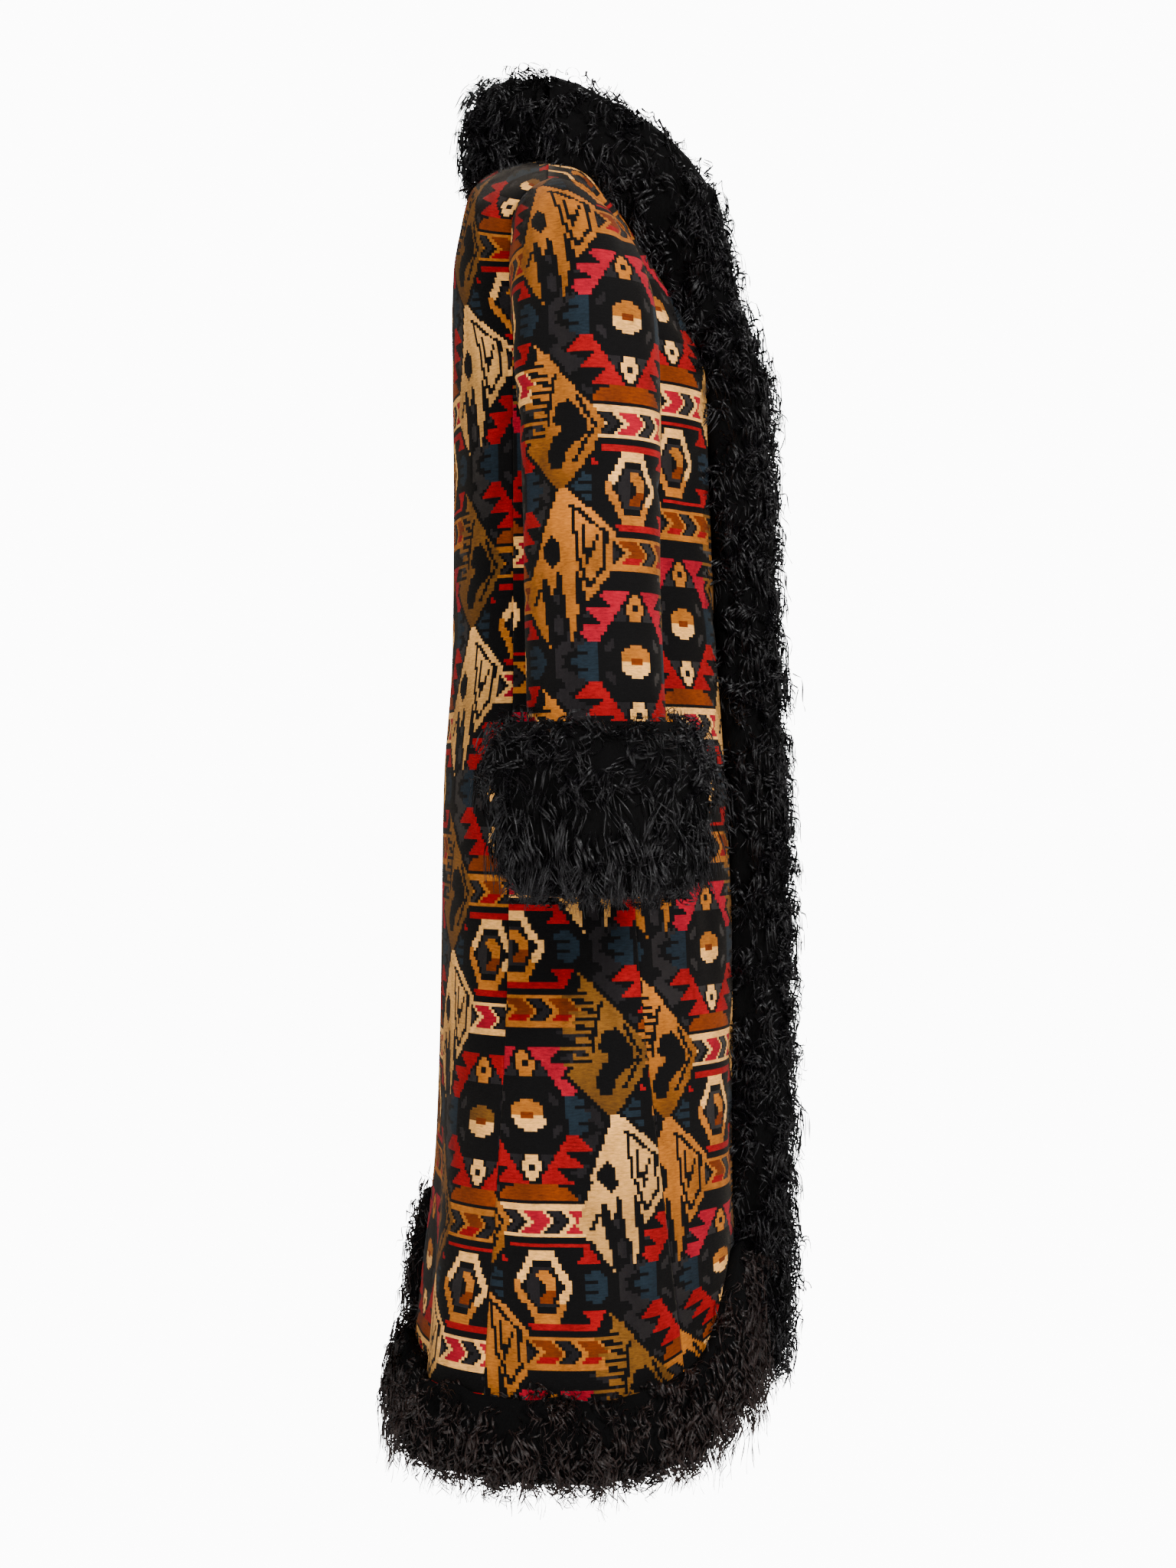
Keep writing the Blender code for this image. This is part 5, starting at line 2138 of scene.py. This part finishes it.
@dataclass
class FurPiece:
    """One strip of fur: dark underfur on the solid's form, with locks of ribbons over it."""

    node: str
    middle: Callable[[Array], Array]
    regions: tuple[Region, ...]
    under: bpy.types.Material
    hair: bpy.types.Material
    seed: int
    least_out: float = -0.25
    depth: float = 0.007

    def build(self) -> list[bpy.types.Object]:
        """Builds the underfur and the locks.

        Returns:
            The two objects, which stand for the strip's CAD node.
        """
        random = np.random.default_rng(self.seed)
        points, triangles, normals, grows = Skin(self.node, self.middle, self.least_out).read()
        grown = np.zeros(len(points))
        np.add.at(grown, triangles[grows].reshape(-1), 1.0)
        total = np.zeros(len(points))
        np.add.at(total, triangles.reshape(-1), 1.0)
        share = (grown == total).astype(float)
        at_nape = (np.abs(points[:, 1]) < NAPE_HALF_Y) & (points[:, 2] > NAPE_LOWEST_Z)
        at_middle = np.abs(points[:, 0]) < MIDDLE_HALF_X
        free = np.stack([~at_middle, ~at_nape, np.ones(len(points))], axis=1)
        inward = unit(normals * free + 1e-9)
        base = points - inward * (share * self.depth)[:, None]
        under = self.underfur(base, triangles, inward, share)
        locks = self.locks(random, base, triangles[grows], normals)
        for obj in (under, locks):
            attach(obj, "root")
            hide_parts(self.node)
        return [under, locks]

    def underfur(
        self, base: Array, triangles: Indices, normals: Array, share: Array
    ) -> bpy.types.Object:
        """The dense short wool below the locks: the solid's form, divided and made uneven.

        Args:
            base: the solid's points, moved in.
            triangles: its triangles.
            normals: normals at the points.
            share: 1 where hair grows on all sides of a point.

        Returns:
            The object.
        """
        base, triangles, (normals, share) = divided(base, triangles, (normals, share))
        x, y, z = base.T
        wave = np.sin(x * 610 + 2.1 * np.sin(z * 340)) * np.cos(z * 470 + 1.7 * np.sin(y * 290))
        wave = wave + 0.6 * np.sin(y * 530 + 1.9 * np.sin(x * 310 + z * 260))
        base = base + unit(normals) * (share * wave * UNDERFUR_RELIEF)[:, None]
        obj = add_mesh(f"{self.node}_underfur", base, np.zeros((0, 4), int), triangles, self.under)
        lay_out(obj, "strand", np.stack([x + y, z], axis=1))
        return obj

    def locks(
        self, random: np.random.Generator, base: Array, triangles: Indices, normals: Array
    ) -> bpy.types.Object:
        """All the strip's ribbons, joined in one mesh.

        Args:
            random: the strip's own random numbers.
            base: points of the skin.
            triangles: the triangles that hair grows on.
            normals: normals at the points.

        Returns:
            The object.
        """
        meshes = []
        for region in self.regions:
            roots, out = scattered(random, base, triangles, normals, region.growth.spacing)
            inside = (roots[:, 2] >= region.low_z) & (roots[:, 2] < region.high_z)
            away = unit((roots - self.middle(roots)) * LEVEL)
            meshes.append(ribbons(random, roots[inside], out[inside], away[inside], region.growth))
        start = np.cumsum([0] + [len(mesh.points) for mesh in meshes[:-1]])
        quads = np.concatenate([mesh.quads + first for mesh, first in zip(meshes, start)])
        points, place, own = (
            np.concatenate([getattr(mesh, key) for mesh in meshes])
            for key in ("points", "place", "own")
        )
        obj = add_mesh(f"{self.node}_locks", points, quads, None, self.hair)
        lay_out(obj, "strand", place)
        mark = obj.data.attributes.new("own", "FLOAT", "POINT")
        mark.data.foreach_set("value", own.astype(np.float32))
        LOG.info("%s: %d ribbon faces", self.node, len(quads) * 2)
        return obj


def divided(
    points: Array, triangles: Indices, values: tuple[Array, ...]
) -> tuple[Array, Indices, tuple[Array, ...]]:
    """Every triangle cut into four at the middles of its edges.

    Args:
        points: the vertices.
        triangles: vertex numbers.
        values: values at the vertices, carried along.

    Returns:
        The finer vertices, triangles and values.
    """
    edges = np.concatenate([triangles[:, [0, 1]], triangles[:, [1, 2]], triangles[:, [2, 0]]])
    edges, index = np.unique(np.sort(edges, axis=1), axis=0, return_inverse=True)
    middle = len(points) + index.reshape(3, -1).T
    a, b, c = triangles.T
    ab, bc, ca = middle.T
    finer = np.concatenate([
        np.stack([a, ab, ca], axis=1), np.stack([ab, b, bc], axis=1),
        np.stack([ca, bc, c], axis=1), np.stack([ab, bc, ca], axis=1),
    ])
    halved = tuple(np.concatenate([v, (v[edges[:, 0]] + v[edges[:, 1]]) / 2]) for v in values)
    return np.concatenate([points, points[edges].mean(axis=1)]), finer, halved


def scattered(
    random: np.random.Generator, points: Array, triangles: Indices, normals: Array, spacing: float
) -> tuple[Array, Array]:
    """Places spread over triangles, at random but not crowded.

    Args:
        random: random numbers.
        points: the vertices.
        triangles: the triangles to spread over.
        normals: normals at the vertices.
        spacing: about how far apart the places are to be.

    Returns:
        Places and their normals.
    """
    a, b, c = (points[triangles[:, k]] for k in range(3))
    area = np.linalg.norm(np.cross(b - a, c - a), axis=1) / 2
    count = int(area.sum() / spacing**2 * DRAWS)
    pick = random.choice(len(triangles), count, p=area / area.sum())
    s, t = random.random(count), random.random(count)
    over = s + t > 1
    s, t = np.where(over, 1 - s, s)[:, None], np.where(over, 1 - t, t)[:, None]
    place = a[pick] + (b - a)[pick] * s + (c - a)[pick] * t
    n = [normals[triangles[pick, k]] for k in range(3)]
    out = unit(n[0] * (1 - s - t) + n[1] * s + n[2] * t)
    cell = np.floor(place / (spacing * THINNING)).astype(int)
    _, first = np.unique(cell, axis=0, return_index=True)
    return place[first], out[first]


class Ribbons(NamedTuple):
    """A mesh of ribbons, with its texture coordinates and one number for each ribbon."""

    points: Array
    quads: Indices
    place: Array
    own: Array


# Locks: lengths in metres, limits in lofts, the rest as shares
ASTRAY_LENGTH = 0.034
LEAST_ROOM = 0.012
ROOT_SINK = 0.0015
OPENING = 0.22
AWAY_LOFTS = 1.2
LEVEL_LOFTS = 2.4
BENT_DOWN = 0.8
LEAST_FREE = 0.006


def bent(value: Array, most: float) -> Array:
    """Numbers bent so that they never pass a limit.

    Args:
        value: the numbers.
        most: the limit.

    Returns:
        Nearly the same numbers far below the limit, and nearly the limit beyond it.
    """
    return most * np.tanh(value / most)


def confined(line: Array, root: Array, out: Array, away: Array, growth: Growth) -> Array:
    """Ribbons bent back to the strip: off the skin, outward, level and downward.

    Args:
        line: points along each ribbon, measured from its root.
        root: the roots.
        out: normals there.
        away: level directions away from the strip's middle there.
        growth: how they grow.

    Returns:
        The points along each ribbon in the coat's own frame.
    """
    off = np.einsum("ijk,ik->ij", line, out)
    line = line + out[:, None] * (bent(off, growth.loft) - off)[..., None]
    far = np.maximum(np.einsum("ijk,ik->ij", line, away), 0.0)
    kept = bent(far, AWAY_LOFTS * growth.loft)
    line = line + away[:, None] * (kept - far)[..., None]
    line[..., 2] -= BENT_DOWN * (far - kept)
    level = np.hypot(line[..., 0], line[..., 1])
    line[..., :2] *= (bent(level, LEVEL_LOFTS * growth.loft) / np.maximum(level, 1e-6))[..., None]
    wander = 0.006 * np.sin(root[:, 1] * 130) + 0.004 * np.sin(root[:, 0] * 170 + 1)
    lowest = growth.stop_z + growth.scallop * away[:, 1] ** 2
    free = np.maximum(root[:, 2] - lowest + wander, LEAST_FREE)
    deepest = np.maximum(-line[..., 2].min(axis=1), 1e-6)
    line[..., 2] *= np.minimum(free / deepest, 1.0)[:, None]
    return root[:, None] + line


def ribbons(
    random: np.random.Generator, roots: Array, out: Array, away: Array, growth: Growth
) -> Ribbons:
    """Clumps of curled ribbons.

    Each ribbon's middle runs from its root along the lock's axis, with a circle about the axis
    that opens within its first fifth and closes again toward the tip. Its width lies across
    its run, along the axis, and shrinks toward the tip.

    Args:
        random: random numbers.
        roots: one place for each clump.
        out: normals there.
        away: level directions away from the strip's middle there.
        growth: how they grow.

    Returns:
        The ribbons, their places measured across and along in metres.
    """
    clumps = len(roots)
    hang = unit(DOWN - out * (out @ DOWN)[:, None] + 1e-6)
    aside = np.cross(out, hang)
    swirl = np.sin(roots[:, 2] * 74 + 2.3 * np.sin(roots[:, 1] * 51)) + np.sin(roots[:, 1] * 88)
    turn = (0.9 * swirl + random.uniform(-1.9, 1.9, clumps)) * (1 - growth.fall)
    turn = turn + random.normal(0, 0.14, clumps)
    astray = random.random(clumps) < growth.loose
    turn = np.where(astray, random.uniform(-math.pi, math.pi, clumps), turn)
    along = hang * np.cos(turn)[:, None] + aside * np.sin(turn)[:, None]
    stand = (1 - growth.lie) * random.uniform(0.6, 1.5, clumps)
    axis = unit(along * growth.lie + out * stand[:, None])
    length = random.uniform(growth.low_length, growth.high_length, clumps)
    length = np.where(astray, np.minimum(length, ASTRAY_LENGTH), length)
    radius = random.uniform(growth.low_radius, growth.high_radius, clumps)
    turns = random.uniform(growth.low_turns, growth.high_turns, clumps)
    turns = turns * random.choice([-1.0, 1.0], clumps)
    phase = random.uniform(0, 2 * math.pi, clumps)
    room = roots[:, 2] - growth.stop_z + random.normal(0, 0.004, clumps)
    falls = np.maximum(-axis[:, 2] + growth.sag, 0.05)
    length = np.minimum(length, np.maximum(room, LEAST_ROOM) / falls)
    rep = np.repeat(np.arange(clumps), growth.strands)
    many = len(rep)
    out, away = out[rep], away[rep]
    root = roots[rep] + random.normal(0, growth.spacing * 0.22, (many, 3))
    root = root - out * ROOT_SINK
    axis = unit(axis[rep] + random.normal(0, 0.040, (many, 3)))
    length = length[rep] * random.uniform(0.70, 1.04, many)
    radius = radius[rep] * random.uniform(0.72, 1.12, many)
    turns = turns[rep] * random.uniform(0.93, 1.07, many)
    phase = phase[rep] + random.normal(0, 0.24, many)
    width = growth.width * random.uniform(0.55, 1.15, many)
    one = unit(np.cross(axis, np.cross(out, axis)))
    two = np.cross(axis, one)
    t = np.linspace(0, 1, growth.segments + 1)
    opened = smooth(t / OPENING) * (1 - 0.25 * t)
    angle = phase[:, None] + 2 * math.pi * turns[:, None] * t**0.9
    swing = radius[:, None] * opened
    run = length[:, None] * t
    line = axis[:, None] * run[..., None]
    line = line + one[:, None] * (swing * np.cos(angle))[..., None]
    line = line + two[:, None] * (swing * np.sin(angle))[..., None]
    line = line + DOWN * (growth.sag * length[:, None] * t**2)[..., None]
    line = confined(line, root, out, away, growth)
    tangent = unit(np.gradient(line, axis=1))
    radial = one[:, None] * np.cos(angle)[..., None] + two[:, None] * np.sin(angle)[..., None]
    across = unit(np.cross(tangent, radial))
    taper = (0.80 + 0.20 * smooth(t / 0.2)) * (1 - 0.70 * t**3)
    half = across * (width[:, None] * taper / 2)[..., None]
    points = np.stack([line - half, line + half], axis=2)
    distance = run_along(line)[..., None]
    offset = random.random(many)[:, None, None]
    side = np.array([-0.5, 0.5]) * width[:, None, None] + offset
    side = np.broadcast_to(side, (many, len(t), 2))
    place = np.stack(np.broadcast_arrays(side, distance), axis=-1)
    first = (np.arange(many)[:, None] * len(t) + np.arange(growth.segments)) * 2
    quads = np.stack([first, first + 1, first + 3, first + 2], axis=-1).reshape(-1, 4)
    own = np.repeat(random.random(many), len(t) * 2)
    return Ribbons(points.reshape(-1, 3), quads, place.reshape(-1, 2), own)


@dataclass
class Studio:
    """A pale floor, soft lights and the camera at the photo's angle."""

    floor_z: float = -1.452
    floor_half: float = 30.0
    surround_light: float = 0.13
    surround_seen: float = 15.0
    aimed_z: float = -0.62
    camera_at: tuple[float, float, float] = (-2.064, -0.0381, -0.642)
    lens: float = 45.7

    def build(self) -> None:
        """Builds the floor, the lights, the surround and the camera."""
        half, z = self.floor_half, self.floor_z
        points = np.array([[-half, -half, z], [half, -half, z], [half, half, z], [-half, half, z]])
        quad = np.array([[0, 1, 2, 3]])
        floor = add_mesh("studio_floor", points, quad, None, StudioFinish().build())
        world = bpy.data.worlds.new("surround")
        world.use_nodes = True
        nodes, links = world.node_tree.nodes, world.node_tree.links
        surround = nodes["Background"]
        surround.inputs["Color"].default_value = (1.0, 1.0, 1.0, 1.0)
        surround.inputs["Strength"].default_value = self.surround_light
        seen = nodes.new("ShaderNodeBackground")
        seen.inputs["Strength"].default_value = self.surround_seen
        path = nodes.new("ShaderNodeLightPath")
        either = nodes.new("ShaderNodeMixShader")
        links.new(path.outputs["Is Camera Ray"], either.inputs[0])
        links.new(surround.outputs[0], either.inputs[1])
        links.new(seen.outputs[0], either.inputs[2])
        links.new(either.outputs[0], nodes["World Output"].inputs[0])
        bpy.context.scene.world = world
        self.light("key", (-2.3, -1.6, 0.9), 0.8, 165.0)
        self.light("fill", (-2.3, 1.7, -0.1), 1.3, 66.0)
        self.light("rim", (1.9, -0.8, 1.3), 1.6, 46.0)
        data = bpy.data.cameras.new("camera")
        data.sensor_fit = "VERTICAL"
        data.sensor_height = 36.0
        data.lens = self.lens
        camera = bpy.data.objects.new("camera", data)
        camera.location = self.camera_at
        camera.rotation_euler = (math.pi / 2, 0.0, -math.pi / 2)
        bpy.context.scene.collection.objects.link(camera)
        bpy.context.scene.camera = camera

    def light(self, name: str, at: tuple[float, float, float], size: float, power: float) -> None:
        """Adds one soft square light, turned to the coat's middle.

        Args:
            name: its name.
            at: where it stands.
            size: its side.
            power: its power in watts.
        """
        data = bpy.data.lights.new(name, "AREA")
        data.shape = "SQUARE"
        data.size = size
        data.energy = power
        lamp = bpy.data.objects.new(name, data)
        lamp.location = at
        toward = np.array([0.0, 0.0, self.aimed_z]) - np.array(at)
        flat = math.hypot(toward[0], toward[1])
        lamp.rotation_euler = (
            math.atan2(flat, -toward[2]), 0.0, math.atan2(toward[1], toward[0]) - math.pi / 2,
        )
        bpy.context.scene.collection.objects.link(lamp)


def velvet_pieces(velvet: bpy.types.Material) -> list[VelvetPiece]:
    """The eight cut pieces of velvet.

    Args:
        velvet: their material.

    Returns:
        The pieces, with their share of the pattern and their creases.
    """
    sleeve, back, side, front = SLEEVE_CREASES, BACK_CREASES, SIDE_CREASES, FRONT_CREASES
    return [
        SidePiece(
            "side_right", False, velvet, shift_u=-0.044, shift_v=-0.795, lean=0.054, creases=side,
        ),
        SidePiece(
            "side_left", True, velvet, shift_u=0.006, shift_v=-0.740, lean=0.03,
            creases=shifted(side, 0.008, -0.03, 0.9),
        ),
        BackPiece("back_right", False, velvet, shift_u=0.059, shift_v=-0.648, creases=back),
        BackPiece(
            "back_left", True, velvet, shift_u=0.020, shift_v=-0.810,
            creases=shifted(back, -0.006, 0.04, 0.95),
        ),
        FrontPiece("front_right", False, velvet, shift_u=-0.150, shift_v=-0.956, creases=front),
        FrontPiece(
            "front_left", True, velvet, shift_u=0.130, shift_v=-0.700,
            creases=shifted(front, 0.004, -0.035, 0.9),
        ),
        SleevePiece("sleeve_right", False, velvet, shift_u=0.040, shift_v=-0.368, creases=sleeve),
        SleevePiece(
            "sleeve_left", True, velvet, shift_u=-0.030, shift_v=-0.330,
            creases=shifted(sleeve, 0.006, 0.03, 0.95),
        ),
    ]


def fur_pieces(
    under: bpy.types.Material, black: bpy.types.Material, brown: bpy.types.Material
) -> list[FurPiece]:
    """The eight strips of fur.

    Args:
        under: the underfur's material.
        black: the hair of the collar, bands and cuffs.
        brown: the warmer hair of the hem and the vent.

    Returns:
        The strips.
    """
    band, hem, vent, collar = (
        (Region(-ANYWHERE, ANYWHERE, growth),)
        for growth in (BAND_CURLS, HEM_LOCKS, VENT_CURLS, COLLAR_CURLS)
    )
    cuff = (
        Region(CUFF_CURLS_Z, ANYWHERE, CUFF_CURLS), Region(-ANYWHERE, CUFF_STRANDS_Z, CUFF_STRANDS),
    )
    made = []
    for k, side in enumerate(("right", "left")):
        made += [
            FurPiece(f"fur_band_{side}", from_body, band, under, black, 11 + k),
            FurPiece(f"fur_hem_{side}", from_hem, hem, under, brown, 21 + k, least_out=-0.1),
            FurPiece(f"fur_cuff_{side}", from_arm, cuff, under, black, 31 + k),
        ]
    return made + [
        FurPiece("fur_collar", from_neck, collar, under, black, 41, least_out=0.0),
        FurPiece("fur_vent", from_body, vent, under, brown, 51),
    ]


def main() -> None:
    """Builds the velvet, the fur and the studio."""
    logging.basicConfig(level=logging.INFO, format="%(message)s")
    velvet = VelvetFinish().build()
    under, black, brown = (finish.build() for finish in FURS)
    for piece in velvet_pieces(velvet):
        piece.build()
    for strip in fur_pieces(under, black, brown):
        strip.build()
    Studio().build()


if __name__ == "__main__":
    main()
